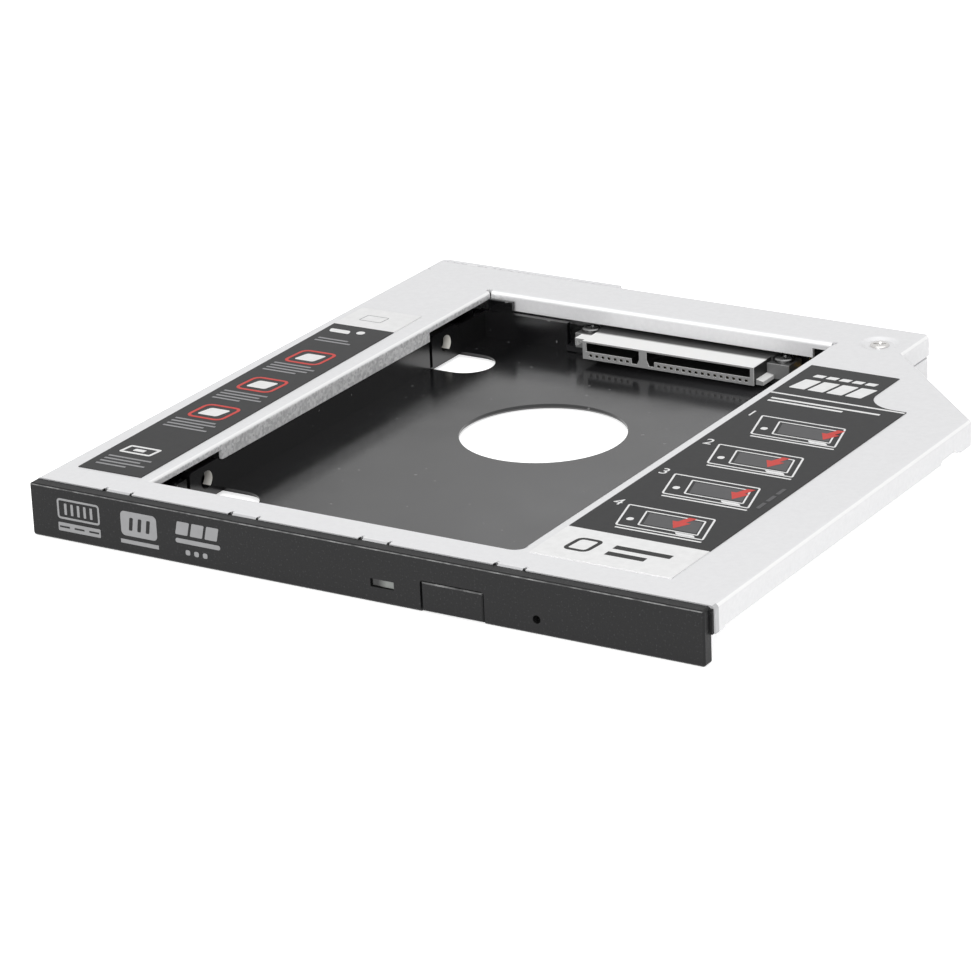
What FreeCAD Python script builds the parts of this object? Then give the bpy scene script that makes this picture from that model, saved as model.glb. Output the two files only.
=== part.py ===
import FreeCAD, Part
import math
import os

# Laptop drive caddy: a carrier of the size of a slim optical drive, with an open bay
# for one 2.5 inch drive. Millimetres. X runs to the right seen from the bezel, Y runs
# from the bezel to the rear, Z is up. While modelling, Y is 0 at the front edge of the
# cover; the finished solids are moved so that the origin is the middle of the footprint.

# The drive that goes in, and its bay
drive_length = 100.0
drive_width = 69.85
drive_side_room = 0.425
drive_end_room = 1.35        # seated drive to the rear lip
slide_room = 8.55            # travel to slide the drive off its socket
bay_front = 6.2
bay_border_left = 18.5
bay_border_right = 13.5
bay_border_rear = 12.05

# Body
body_height = 9.5
wing_width = 25.3            # thin right-hand part that overhangs
rear_step = 11.3             # body behind the wing's bevelled corner
cover_sheet = 0.7
case_sheet = 0.5
floor_sheet = 1.0
tray_wall = 1.2
fit = 0.05                   # gap between nested sheets
bend = 0.8                   # outside radius of the cover's folds

# Lips of the bay
bay_corner = 2.4
lip_short = 1.45
lip_relief = 0.15
lip_over_wall = 0.2          # deep lip to the tray wall's top
lip_over_socket = 0.7
lip_after_hole = 4.4
lip_before_hole = 6.0
rear_lip_left = 4.9
rear_lip_right = 3.9

# Cover flanges
flange_drop = 4.25
corner_tab_drop = 4.6
front_corner_tab = 3.0
rear_corner_tab = 4.2
flange_trim = 0.5
flange_notch_back = 8.7
flange_notch_width = 4.6
flange_notch_rise = 0.9
seam_drop = 3.8
side_bottom = 0.8
front_notch_width = 5.6
front_tab_left = 16.4
front_tab_pitch = 25.05
front_tab_count = 4
front_tab_drop = 3.5
front_slit = 0.35
front_slit_depth = 1.3

# Screws, M2
screw_radius = 0.95
screw_hole_radius = 1.05
screw_head_radius = 1.75
screw_head_height = 0.7
low_head_height = 0.35
head_edge = 0.2
recess_arm = 0.45
recess_reach = 1.1
recess_depth = 0.2
flush_head_height = 0.6
board_screw_length = 4.5
cover_screw_length = 4.5
bracket_screw_length = 3.2
case_screw_length = 4.2

# Cover screw, its dimple and its post
cover_screw_right = 5.9
cover_screw_rear = 8.5
dimple_radius = 3.7
dimple_floor_radius = 2.7
dimple_depth = 0.4
post_radius = 2.1

# Lower case
case_rim = 2.2
case_seam_gap = 0.35
case_bend = 0.8
case_flange = 5.0
case_margin = 0.4
case_end_gap = 0.2
wall_end_gap = 1.4
access_radius = 2.4
window_half = 1.4            # of the square windows behind the bracket's holes
button_relief_side = 1.2
button_relief_depth = 1.3

# Tray
wall_gap = 0.4               # lip face to the tray wall's inner face
wall_share = 0.2             # of the height between screw hole and short lip
tray_front = 5.0
tray_margin = 0.2            # tray edge to the case wall
window_gap = 0.1
front_wall = 1.0
side_wall_short = 2.75
rear_wall = 1.0
spindle_left = 35.45
spindle_rear = 41.25
spindle_radius = 14.75
rim_bevel = 0.45
drive_hole_end = 14.0        # of the drive's own screw holes, from its two ends
drive_hole_nose = 9.4
drive_hole_height = 3.0      # above the floor
drive_hole_radius = 1.6
ear_share = 0.45
ear_front = 4.8
ear_back = 4.1
ear_slot = 0.9
ear_thickness = 1.6
ear_corner = 0.8
ear_hole_length = 10.4
ear_hole_reach = 9.8
ear_hole_shift = -0.5
ear_hole_rim = 0.35
ear_hole_rebate = 0.8
board_pad = 2.2
rib_thin = 0.9
rib_margin = 0.3
left_rib_front = 2.5
left_rib_after_hole = 14.2
left_rib_before_hole = 15.4
left_rib_rear = 4.25
right_rib_front = 9.0
right_rib_rear = 6.75
right_rib_count = 4
block_half = 2.6
block_depth = 4.6
block_drop = 1.9
case_screw_front = 9.0
case_screw_drop = 4.9

# Bezel
bezel_thickness = 2.2
bezel_top_step = 0.2
bezel_right_step = 0.8
bezel_lip_width = 0.5
bezel_lip_depth = 0.5
bezel_lip_drop = 4.6
bezel_corner = 0.5
bezel_edge = 0.3
hook_width = 4.4
hook_thickness = 0.9
hook_barb = 1.0
slot_before_button = 9.3
slot_width = 4.4
slot_drop = 6.84
slot_height = 1.4
pinhole_after_button = 21.31
pinhole_drop = 6.96
pinhole_radius = 0.7
arm_gap = 0.2
arm_thickness = 1.0
arm_bottom = 1.1
arm_chamfer = 1.2
arm_drop_left = 2.1
arm_drop_right = 0.25
stiffener_depth = 1.2
stiffener = 0.8
stiffener_count = 4
stiffener_side = 1.5
stiffener_bottom = 0.6
stiffener_drop = 0.65

# Eject button
button_from_left = 76.25
button_width = 11.8
button_drop = 4.15
button_gap = 0.25
button_rise = 0.2
button_edge = 0.2
button_flange = 0.9
button_flange_thickness = 0.8
button_flange_rise = 0.6
button_boss_width = 3.0
button_boss_depth = 1.0
button_boss_bottom = 1.8
button_boss_drop = 0.75
spring_strip = 0.2
spring_margin = 0.1
spring_foot_gap = 12.0
spring_foot = 2.0
spring_crown = 3.0
spring_curve = 0.8

# Lamp window
lamp_gap = 0.1
lamp_setback = 0.4
lamp_flange = 0.4

# Board and connectors
board_before_rear = 2.55
board_rear_gap = 1.1
board_left_of_socket = 6.4
board_right_margin = 0.4
board_bottom = 1.2
board_thickness = 1.0
film_thickness = 0.15
film_margin = 0.6
socket_after_left = 23.9
socket_width = 35.0
socket_reach = 7.55          # nose in front of the bay's rear edge
socket_height = 3.4
socket_body_front = 0.95
socket_body_depth = 4.2
socket_shoulder = 0.4
socket_ear = 4.4
socket_ear_front = 2.4
socket_ear_depth = 5.0
socket_ear_height = 2.7
socket_screw_out = 2.3
socket_screw_front = 0.15
socket_top_wall = 0.3
socket_side_wall = 0.7
socket_slot_depth = 5.0
socket_ledge = 1.4
socket_key_width = 1.6
socket_key_floor = 0.45
socket_pillar = 1.5
pillar_foot = 0.5
hook_reach = 2.0
hook_strip = 0.45
hook_fall = 1.4
hook_start = 0.8
hook_end = 3.2
guide_reach = 1.5
guide_rise = 1.0
contact_pitch = 1.27
contact_width = 0.5
contact_thickness = 0.25
contact_rise = 0.6
contact_setback = 0.15
contact_tail = 0.6
signal_in = 1.6
signal_count = 7
power_in = 15.7
power_count = 15
plug_before_right = 36.3
plug_width = 27.6
plug_height = 4.4
plug_depth = 6.6
plug_wall = 0.8
plug_mouth_depth = 4.2
plug_tongue = 1.1
plug_tongue_rise = 0.5
plug_tongue_margin = 0.9
plug_key_gap = 1.7
plug_signal_count = 7
plug_power_count = 6
plug_recess = 0.3
plug_tail = 0.9
capacitor_length = 1.6
capacitor_width = 0.8
capacitor_height = 0.8
capacitor_rear = 3.7
capacitor_count = 4

# Rear bracket
bracket_inset = 0.4
bracket_width = 38.6
bracket_sheet = 1.0
bracket_bottom = 0.9
bracket_top_step = 0.12
bracket_leg = 5.2
bracket_corner = 1.1
bracket_screw_first = 6.6
bracket_screw_spacing = 25.0
bracket_screw_drop = 2.3
bracket_hole_first = 13.1
bracket_hole_spacing = 12.0
bracket_holes_z = 3.2
bracket_hole_radius = 1.1
notch_inset = 1.5
notch_length = 5.9

# Labels
label_thickness = 0.12
label_after_bay = 0.4
left_label_in = 9.2
left_label_middle_y = 45.5
left_label_width = 12.7
left_label_length = 89.6
left_label_turn = 0.9
right_label_gap = 2.1
right_label_width = 25.5
right_label_over = 12.7
right_label_head = 17.0
right_label_neck = 14.6
right_label_curve = 6.0

# Places that follow from the sizes above
bay_width = drive_width + 2.0 * drive_side_room
body_width = bay_border_left + bay_width + bay_border_right + wing_width
half_width = body_width / 2.0
bay_left = -half_width + bay_border_left
bay_right = bay_left + bay_width
bay_rear = bay_front + drive_length + slide_room
deep_right = bay_right + bay_border_right
body_depth = bay_rear + bay_border_rear
wing_length = body_depth - rear_step - wing_width
bevel_end = wing_length + wing_width
fold_corner = bend * math.tan(math.radians(22.5))
cover_under = body_height - cover_sheet
sheet_top = body_height - bend - fit
seam = body_height - seam_drop
wing_bottom = body_height - flange_drop
side_drop = body_height - side_bottom
drive_front = bay_rear - drive_end_room - drive_length
drive_hole_front = drive_front + drive_hole_nose
drive_hole_rear = drive_front + drive_length - drive_hole_end
hole_z = floor_sheet + drive_hole_height
hole_top = hole_z + drive_hole_radius
room_over_hole = body_height - lip_short - hole_top
wall_top = hole_top + wall_share * room_over_hole
ear_top = hole_top + ear_share * room_over_hole
wall_in_left = bay_left - wall_gap
wall_in_right = bay_right + wall_gap
left_out = wall_in_left - tray_wall
right_out = wall_in_right + tray_wall
case_outer_left = -half_width + cover_sheet + fit
case_inner_left = case_outer_left + case_sheet
case_inner_right = deep_right - case_sheet
case_inner_rear = body_depth - case_sheet
board_top = board_bottom + board_thickness
rear_extent = body_depth + bracket_sheet
middle_y = (rear_extent - bezel_thickness) / 2.0
face_right = half_width - bezel_right_step
bezel_height = body_height - bezel_top_step
front_tab_first = -half_width + front_tab_left
front_tabs = [front_tab_first + front_tab_pitch * i for i in range(front_tab_count)]
dimple_bottom = body_height - dimple_depth
cover_screw_x = deep_right - cover_screw_right
cover_screw_y = body_depth - cover_screw_rear
spindle_x = bay_left + spindle_left
spindle_y = bay_rear - spindle_rear
socket_left = bay_left + socket_after_left
socket_right = socket_left + socket_width
socket_front = bay_rear - socket_reach
socket_back = bay_rear - socket_body_front
socket_body_end = socket_back + socket_body_depth
board_front = bay_rear - board_before_rear
board_rear = body_depth - board_rear_gap
board_left = socket_left - board_left_of_socket
board_screw_y = bay_rear - socket_screw_front
board_screw_places = ((socket_left - socket_screw_out, board_screw_y),
                      (socket_right + socket_screw_out, board_screw_y))
ear_floor = board_top + socket_ear_height
plug_left = deep_right - plug_before_right
plug_right = plug_left + plug_width
board_right = plug_right + board_right_margin
plug_back = body_depth - plug_recess
plug_start = plug_back - plug_depth
button_left = -half_width + button_from_left
button_right = button_left + button_width
button_middle = button_left + button_width / 2.0
button_top = body_height - button_drop
boss_top = button_top - button_boss_drop
slot_left = button_left - slot_before_button
slot_right = slot_left + slot_width
slot_bottom = body_height - slot_drop
slot_top = slot_bottom + slot_height
pinhole_x = button_left + pinhole_after_button
pinhole_z = body_height - pinhole_drop
bracket_left = -half_width + bracket_inset
bracket_right = bracket_left + bracket_width
bracket_screws_x = (bracket_left + bracket_screw_first,
                    bracket_left + bracket_screw_first + bracket_screw_spacing)
bracket_holes_x = (bracket_left + bracket_hole_first,
                   bracket_left + bracket_hole_first + bracket_hole_spacing)
bracket_screw_z = body_height - bracket_screw_drop
bracket_top = body_height - bracket_top_step
notch_start = body_depth - notch_length
case_screw_z = body_height - case_screw_drop
case_screw_places = (tray_front + case_screw_front, (drive_hole_front + drive_hole_rear) / 2.0)
left_ribs = (tray_front + left_rib_front, drive_hole_front + left_rib_after_hole,
             drive_hole_rear - left_rib_before_hole, bay_rear - left_rib_rear)
right_rib_start = tray_front + right_rib_front
right_rib_pitch = (bay_rear - right_rib_rear - right_rib_start) / (right_rib_count - 1)
right_ribs = [right_rib_start + right_rib_pitch * i for i in range(right_rib_count)]


def vec(x, y, z=0.0):
    return FreeCAD.Vector(x, y, z)


def box(x0, x1, y0, y1, z0, z1):
    return Part.makeBox(x1 - x0, y1 - y0, z1 - z0, vec(x0, y0, z0))


def rod(x, y, z, radius, length, direction=(0, 0, 1)):
    return Part.makeCylinder(radius, length, vec(x, y, z), vec(*direction))


def rounded_wire(points):
    """Closed wire through 3-D points; an item (point, radius) has that corner rounded."""
    items = [p if isinstance(p, tuple) else (p, 0.0) for p in points]
    corners = []
    for i, (here, radius) in enumerate(items):
        before = items[i - 1][0]
        after = items[(i + 1) % len(items)][0]
        if radius <= 0.0:
            corners.append((here, here, None))
            continue
        back = (before - here).normalize()
        ahead = (after - here).normalize()
        half_angle = back.getAngle(ahead) / 2.0
        cut = radius / math.tan(half_angle)
        bisector = (back + ahead).normalize()
        reach = radius / math.sin(half_angle) - radius
        corners.append((here + back * cut, here + ahead * cut, here + bisector * reach))
    edges = []
    for i, (start, end, mid) in enumerate(corners):
        if mid is not None:
            edges.append(Part.Arc(start, mid, end).toShape())
        following = corners[(i + 1) % len(corners)][0]
        if end.distanceToPoint(following) > 1e-6:
            edges.append(Part.LineSegment(end, following).toShape())
    return Part.Wire(edges)


def plate(points, z0, z1):
    """Flat piece from (x, y) or (x, y, corner radius) points."""
    corners = [(vec(p[0], p[1], z0), p[2] if len(p) > 2 else 0.0) for p in points]
    return Part.Face(rounded_wire(corners)).extrude(vec(0, 0, z1 - z0))


def across(points, x0, x1):
    """Solid from a side outline of (y, z) points, from x0 to x1."""
    corners = [(vec(x0, p[0], p[1]), p[2] if len(p) > 2 else 0.0) for p in points]
    return Part.Face(rounded_wire(corners)).extrude(vec(x1 - x0, 0, 0))


def along(points, y0, y1):
    """Solid from a front outline of (x, z) points, from y0 to y1."""
    corners = [(vec(p[0], y0, p[1]), p[2] if len(p) > 2 else 0.0) for p in points]
    return Part.Face(rounded_wire(corners)).extrude(vec(0, y1 - y0, 0))


def fuse(shapes):
    first = shapes[0]
    return first.fuse(shapes[1:]).removeSplitter() if len(shapes) > 1 else first


def strip(profile, start, end, outward):
    """Extrude a wire profile of (distance outward, z) points from start to end."""
    run = end - start
    corners = []
    for p in profile:
        place = start + outward * p[0]
        corners.append((vec(place.x, place.y, p[1]), p[2] if len(p) > 2 else 0.0))
    return Part.Face(rounded_wire(corners)).extrude(run)


def fold(start, end, outward, drop):
    """Edge of the cover folded down: its outer face stands on the line start to end."""
    top = body_height
    profile = [
        (-bend, top),
        (0.0, top, bend),
        (0.0, top - drop),
        (-cover_sheet, top - drop),
        (-cover_sheet, top - cover_sheet),
        (-bend, top - cover_sheet),
    ]
    return strip(profile, start, end, outward)


def inset(points, gaps):
    """Move each side of a polygon inwards; side i runs from point i to the next one."""
    moved = []
    count = len(points)
    for i in range(count):
        (ax, ay), (bx, by) = points[i], points[(i + 1) % count]
        length = math.hypot(bx - ax, by - ay)
        nx, ny = -(by - ay) / length, (bx - ax) / length
        moved.append((ax + nx * gaps[i], ay + ny * gaps[i], bx - ax, by - ay))
    corners = []
    for i in range(count):
        px, py, ux, uy = moved[i - 1]
        qx, qy, wx, wy = moved[i]
        t = ((qx - px) * wy - (qy - py) * wx) / (ux * wy - uy * wx)
        corners.append((px + ux * t, py + uy * t))
    return corners


def on_front(edge, y):
    return all(abs(v.Point.y - y) < 1e-6 for v in edge.Vertexes)


left_x = vec(-1, 0)
right_x = vec(1, 0)
front_y = vec(0, -1)
rear_y = vec(0, 1)
bevel_out = vec(1, 1).normalize()


def bay_lips():
    """Folded edges of the drive opening: deep in the middle, short beside the corners."""
    side_end = bay_rear - lip_relief
    deep_start = drive_hole_front + lip_after_hole
    deep_end = drive_hole_rear - lip_before_hole
    deep = body_height - wall_top - lip_over_wall
    rear_deep = body_height - board_top - socket_height - lip_over_socket
    rear_start = bay_left + rear_lip_left
    rear_end = bay_right - rear_lip_right

    def left_lip(y0, y1, drop):
        return fold(vec(bay_left, y0), vec(bay_left, y1), right_x, drop)

    def rear_lip(x0, x1, drop):
        return fold(vec(x0, bay_rear), vec(x1, bay_rear), front_y, drop)

    return [
        left_lip(bay_front, deep_start, lip_short),
        left_lip(deep_start, deep_end, deep),
        left_lip(deep_end, side_end, lip_short),
        rear_lip(bay_left + lip_relief, rear_start, lip_short),
        rear_lip(rear_start, rear_end, rear_deep),
        rear_lip(rear_end, bay_right - lip_relief, lip_short),
        fold(vec(bay_right, bay_front + bay_corner + lip_relief), vec(bay_right, side_end),
             left_x, deep),
    ]


def outer_flanges():
    """Full height on the left, shallow round the wing and at the rear."""
    left = fold(vec(-half_width, 0.0), vec(-half_width, notch_start), left_x, side_drop)
    wing = fold(vec(half_width, 0.0), vec(half_width, wing_length - fold_corner), right_x,
                corner_tab_drop)
    trim = half_width - cover_sheet - flange_trim
    beyond = half_width + bend
    wing = wing.cut(box(trim, beyond, front_corner_tab, wing_length - rear_corner_tab, 0.0,
                        wing_bottom))
    middle = wing_length - flange_notch_back
    low = flange_notch_width / 2.0 + flange_notch_rise
    high = flange_notch_width / 2.0
    wing = wing.cut(across([(middle - low, wing_bottom), (middle + low, wing_bottom),
                            (middle + high, wing_bottom + flange_notch_rise),
                            (middle - high, wing_bottom + flange_notch_rise)], trim, beyond))
    step = vec(-1, 1).normalize() * fold_corner
    bevel = fold(vec(half_width, wing_length) + step, vec(deep_right, bevel_end) + step,
                 bevel_out, flange_drop)
    narrow = fold(vec(deep_right, bevel_end - fold_corner), vec(deep_right, body_depth - bend),
                  right_x, seam_drop)
    rear = fold(vec(-half_width + notch_inset, body_depth), vec(deep_right - bend, body_depth),
                rear_y, seam_drop)
    return [left, wing, bevel.cut(mitre(bevel_end, bevel_end + bend)),
            narrow.cut(mitre(bevel_end - bend, bevel_end)), rear]


def mitre(y0, y1):
    """Block on one side of the mitred joint at the inner corner behind the bevel."""
    block = box(deep_right - 2.0 * bend, deep_right + bend, y0, y1, 0.0, body_height + bend)
    block.rotate(vec(deep_right, bevel_end), vec(0, 0, 1), 22.5)
    return block


def top_cover():
    outline = [
        (-half_width, 0.0),
        (half_width, 0.0),
        (half_width, wing_length),
        (deep_right, bevel_end),
        (deep_right, body_depth),
        (-half_width, body_depth),
    ]
    flat = plate(inset(outline, (0.0, bend, bend, bend, bend, bend)), cover_under, body_height)
    flat = flat.cut(plate([
        (bay_left - bend, bay_front),
        (bay_right + bend, bay_front, bay_corner),
        (bay_right + bend, bay_rear + bend),
        (bay_left - bend, bay_rear + bend),
    ], 0.0, body_height + bend))
    cover = fuse([flat] + outer_flanges() + bay_lips())

    # Front tabs, each between two slits
    tabs = []
    for x in front_tabs:
        x0 = x - front_notch_width / 2.0
        x1 = x + front_notch_width / 2.0
        cover = cover.cut(box(x0, x1, -bend, front_slit_depth, 0.0, body_height + bend))
        tabs.append(box(x0 + front_slit, x1 - front_slit, bend, front_slit_depth, cover_under,
                        body_height))
        tabs.append(fold(vec(x0 + front_slit, 0.0), vec(x1 - front_slit, 0.0), front_y,
                         front_tab_drop))
    cover = fuse([cover] + tabs)

    # Rear left corner notch, screw dimple and the holes
    cover = cover.cut(box(-half_width - bend, -half_width + notch_inset, notch_start,
                          body_depth + bend, 0.0, body_height + bend))
    dish = Part.makeCone(dimple_floor_radius + cover_sheet / 2.0, dimple_radius + cover_sheet / 2.0,
                         dimple_depth, vec(cover_screw_x, cover_screw_y,
                                           dimple_bottom - cover_sheet))
    hollow = Part.makeCone(dimple_floor_radius, dimple_radius, dimple_depth,
                           vec(cover_screw_x, cover_screw_y, dimple_bottom))
    cover = cover.fuse(dish).cut(hollow)
    cover = cover.cut(rod(cover_screw_x, cover_screw_y, 0.0, screw_hole_radius, body_height))
    for x in bracket_screws_x:
        cover = cover.cut(rod(x, body_depth - bend, bracket_screw_z, screw_hole_radius,
                              2.0 * bend, rear_y))
    cover = cover.cut(plug_window())
    for y in (drive_hole_front, drive_hole_rear):
        cover = cover.cut(rod(-half_width - bend, y, hole_z, access_radius, 2.0 * bend, right_x))
    for y in case_screw_places:
        cover = cover.cut(side_screw(y, fit))
    return cover.removeSplitter()


def plug_window():
    return box(plug_left - plug_recess, plug_right + plug_recess, plug_start, body_depth + bend,
               board_top - plug_recess, board_top + plug_height + plug_recess)


def flush_screw(x, y, z, inward, length, gap):
    """Countersunk screw with its flat head at the given place, grown by gap all round."""
    head = Part.makeCone(screw_head_radius + gap, screw_radius + gap, flush_head_height,
                         vec(x, y, z), inward)
    return head.fuse(rod(x, y, z, screw_radius + gap, length + gap, inward))


def side_screw(y, gap):
    return flush_screw(-half_width, y, case_screw_z, right_x, case_screw_length, gap)


def flush_recess(x, y, z, inward):
    """Cross recess in a flush head."""
    upright = vec(0, 0, 1)
    level = upright.cross(inward)
    arms = []
    for axis, other in ((level, upright), (upright, level)):
        wide = axis * recess_reach
        thin = other * (recess_arm / 2.0)
        base = vec(x, y, z)
        corners = [base - wide - thin, base + wide - thin, base + wide + thin,
                   base - wide + thin]
        arms.append(Part.Face(Part.makePolygon(corners + corners[:1])).extrude(
            inward * recess_depth))
    return arms[0].fuse(arms[1])


def upstand(start, end, outward, height):
    """Case wall folded up from the floor; its outer face is on the line start to end."""
    profile = [
        (-case_bend, 0.0),
        (0.0, 0.0, case_bend),
        (0.0, height),
        (-case_sheet, height),
        (-case_sheet, case_sheet),
        (-case_bend, case_sheet),
    ]
    return strip(profile, start, end, outward)


def joggled(start, end, outward):
    """Case wall that steps in behind the cover's flange above the seam."""
    step = cover_sheet + fit
    low = seam - case_seam_gap
    profile = [
        (-case_bend, 0.0),
        (0.0, 0.0, case_bend),
        (0.0, low),
        (-step, seam),
        (-step, sheet_top),
        (-step - case_sheet, sheet_top),
        (-step - case_sheet, seam - fit),
        (-case_sheet, low - fit),
        (-case_sheet, case_sheet),
        (-case_bend, case_sheet),
    ]
    return strip(profile, start, end, outward)


def lower_case():
    front = case_margin
    left_end = notch_start - case_end_gap
    corner = bevel_end + bend
    ring = plate([(case_outer_left + case_bend, front), (deep_right - case_bend, front),
                  (deep_right - case_bend, body_depth - case_bend),
                  (case_outer_left + case_bend, body_depth - case_bend)], 0.0, case_sheet)
    pieces = [
        ring.cut(tray_window(0.0, -case_sheet, 2.0 * case_sheet)),
        upstand(vec(case_outer_left, front), vec(case_outer_left, left_end), left_x, sheet_top),
        joggled(vec(-half_width + notch_inset + case_bend, body_depth),
                vec(deep_right - wall_end_gap, body_depth), rear_y),
        joggled(vec(deep_right, corner), vec(deep_right, body_depth - wall_end_gap), right_x),
        upstand(vec(deep_right, front), vec(deep_right, bevel_end - 2.0 * bend), right_x,
                wing_bottom + case_sheet),
        upstand(vec(deep_right, bevel_end - 2.0 * bend), vec(deep_right, corner), right_x,
                wing_bottom - fit),
    ]

    # Underside of the wing with its low rim inside the cover's flange
    gap = cover_sheet + fit
    wing = plate(wing_outline(gap), wing_bottom, wing_bottom + case_rim)
    wing = wing.cut(plate(wing_outline(gap + case_sheet), wing_bottom + case_sheet, body_height))
    pieces.append(wing)
    case = fuse(pieces)

    for x in bracket_screws_x:
        case = case.cut(rod(x, body_depth - 2.0 * bend, bracket_screw_z, screw_radius,
                            3.0 * bend, rear_y))
    for x in bracket_holes_x:
        case = case.cut(box(x - window_half, x + window_half, body_depth - bend,
                            body_depth + bend, bracket_holes_z - window_half,
                            bracket_holes_z + window_half))
    case = case.cut(plug_window())
    for y in (drive_hole_front, drive_hole_rear):
        case = case.cut(box(-half_width, -half_width + 2.0 * bend, y - access_radius,
                            y + access_radius, hole_z - access_radius, hole_z + access_radius))
    for y in case_screw_places:
        case = case.cut(rod(-half_width, y, case_screw_z, screw_radius + fit, 2.0 * bend,
                            right_x))
    case = case.cut(box(button_left - button_relief_side, button_right + button_relief_side,
                        -bend, button_relief_depth, -case_sheet, 2.0 * case_sheet))
    return case.removeSplitter()


def tray_window(gap, z0, z1):
    """Inside of the case's bottom flange, made smaller by gap on every side."""
    edge = case_flange + gap
    return box(case_outer_left + edge, deep_right - edge, case_margin + edge, body_depth - edge,
               z0, z1)


def wing_outline(gap):
    """Outline of the wing inside the cover's flange, from the front anticlockwise."""
    side = half_width - gap
    return [
        (deep_right - case_sheet, case_margin),
        (side, case_margin),
        (side, wing_length - gap * math.tan(math.radians(22.5))),
        (deep_right, bevel_end - gap * math.sqrt(2.0)),
        (deep_right - case_sheet, bevel_end - gap * math.sqrt(2.0)),
    ]


def tray_walls(x0, x1):
    """Walls, ribs, screw blocks and posts that stand on the tray's floor."""
    foot = floor_sheet / 2.0 + case_sheet / 2.0
    side_end = bay_rear - side_wall_short
    rear_end = side_end + tray_wall + rear_wall
    walls = [
        box(left_out, x1, tray_front, tray_front + front_wall, foot, cover_under - fit),
        box(left_out, wall_in_left, tray_front, rear_end, foot, wall_top),
        box(left_out, board_left - rib_margin, rear_end - rear_wall, rear_end, foot, wall_top),
        box(wall_in_right, right_out, tray_front, side_end, foot, wall_top),
    ]
    for y in left_ribs:
        walls.append(box(x0 + rib_margin, left_out, y - rib_thin / 2.0, y + rib_thin / 2.0, foot,
                         sheet_top))
    for y in right_ribs:
        walls.append(box(right_out, x1 - rib_margin, y - rib_thin / 2.0, y + rib_thin / 2.0,
                         foot, sheet_top))
    for y in case_screw_places:
        walls.append(box(case_inner_left, case_inner_left + block_depth, y - block_half,
                         y + block_half, foot, body_height - block_drop))
    for x, y in board_screw_places:
        walls.append(box(x - board_pad, x + board_pad, y - board_pad, y + board_pad, foot,
                         board_bottom))
    walls.append(rod(cover_screw_x, cover_screw_y, foot, post_radius,
                     dimple_bottom - cover_sheet - foot))
    return walls


def ear_hole(hole_y, margin, z0, z1):
    """D-shaped hole beside a screw ear, its straight side at the ear."""
    half = ear_hole_length / 2.0 + margin
    middle = hole_y + ear_hole_shift
    start = wall_in_left - margin
    reach = wall_in_left + ear_hole_reach + margin
    return plate([(start, middle - half), (reach, middle - half, half - fit),
                  (reach, middle + half, half - fit), (start, middle + half)], z0, z1)


def drive_tray():
    x0 = case_inner_left + tray_margin
    x1 = case_inner_right - tray_margin
    y1 = case_inner_rear - tray_margin
    floor = plate([(x0, tray_front), (x1, tray_front), (x1, y1), (x0, y1)],
                  case_sheet + fit, floor_sheet)
    tray = fuse([floor, tray_window(window_gap, 0.0, floor_sheet)] + tray_walls(x0, x1))

    # Screw ears, free at the front edge, each beside its D-shaped hole in the floor
    below = -floor_sheet
    for hole_y in (drive_hole_front, drive_hole_rear):
        y0 = hole_y - ear_front
        y1 = hole_y + ear_back
        tray = tray.cut(box(left_out - tray_wall, wall_in_left + tray_wall, y0 - ear_slot, y1,
                            floor_sheet, body_height))
        ear = across([(y0, floor_sheet - fit), (y1, floor_sheet - fit), (y1, ear_top, ear_corner),
                      (y0, ear_top, ear_corner)], wall_in_left - ear_thickness, wall_in_left)
        tray = tray.fuse(ear)
        tray = tray.cut(ear_hole(hole_y, 0.0, below, floor_sheet))
        tray = tray.cut(ear_hole(hole_y, ear_hole_rebate, below, floor_sheet - ear_hole_rim))
        tray = tray.cut(rod(wall_in_left - 2.0 * ear_thickness, hole_y, hole_z,
                            drive_hole_radius, 3.0 * ear_thickness, right_x))

    tray = tray.cut(rod(spindle_x, spindle_y, below, spindle_radius, 3.0 * floor_sheet))
    tray = tray.cut(Part.makeCone(spindle_radius + rim_bevel, spindle_radius, rim_bevel,
                                  vec(spindle_x, spindle_y)))
    for x, y in board_screw_places:
        tray = tray.cut(rod(x, y, below, screw_radius, 4.0 * floor_sheet))
    tray = tray.cut(rod(cover_screw_x, cover_screw_y, dimple_bottom - cover_screw_length,
                        screw_radius, cover_screw_length))
    for y in case_screw_places:
        tray = tray.cut(rod(-half_width, y, case_screw_z, screw_radius, case_screw_length,
                            right_x))
    return tray.removeSplitter()


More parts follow.
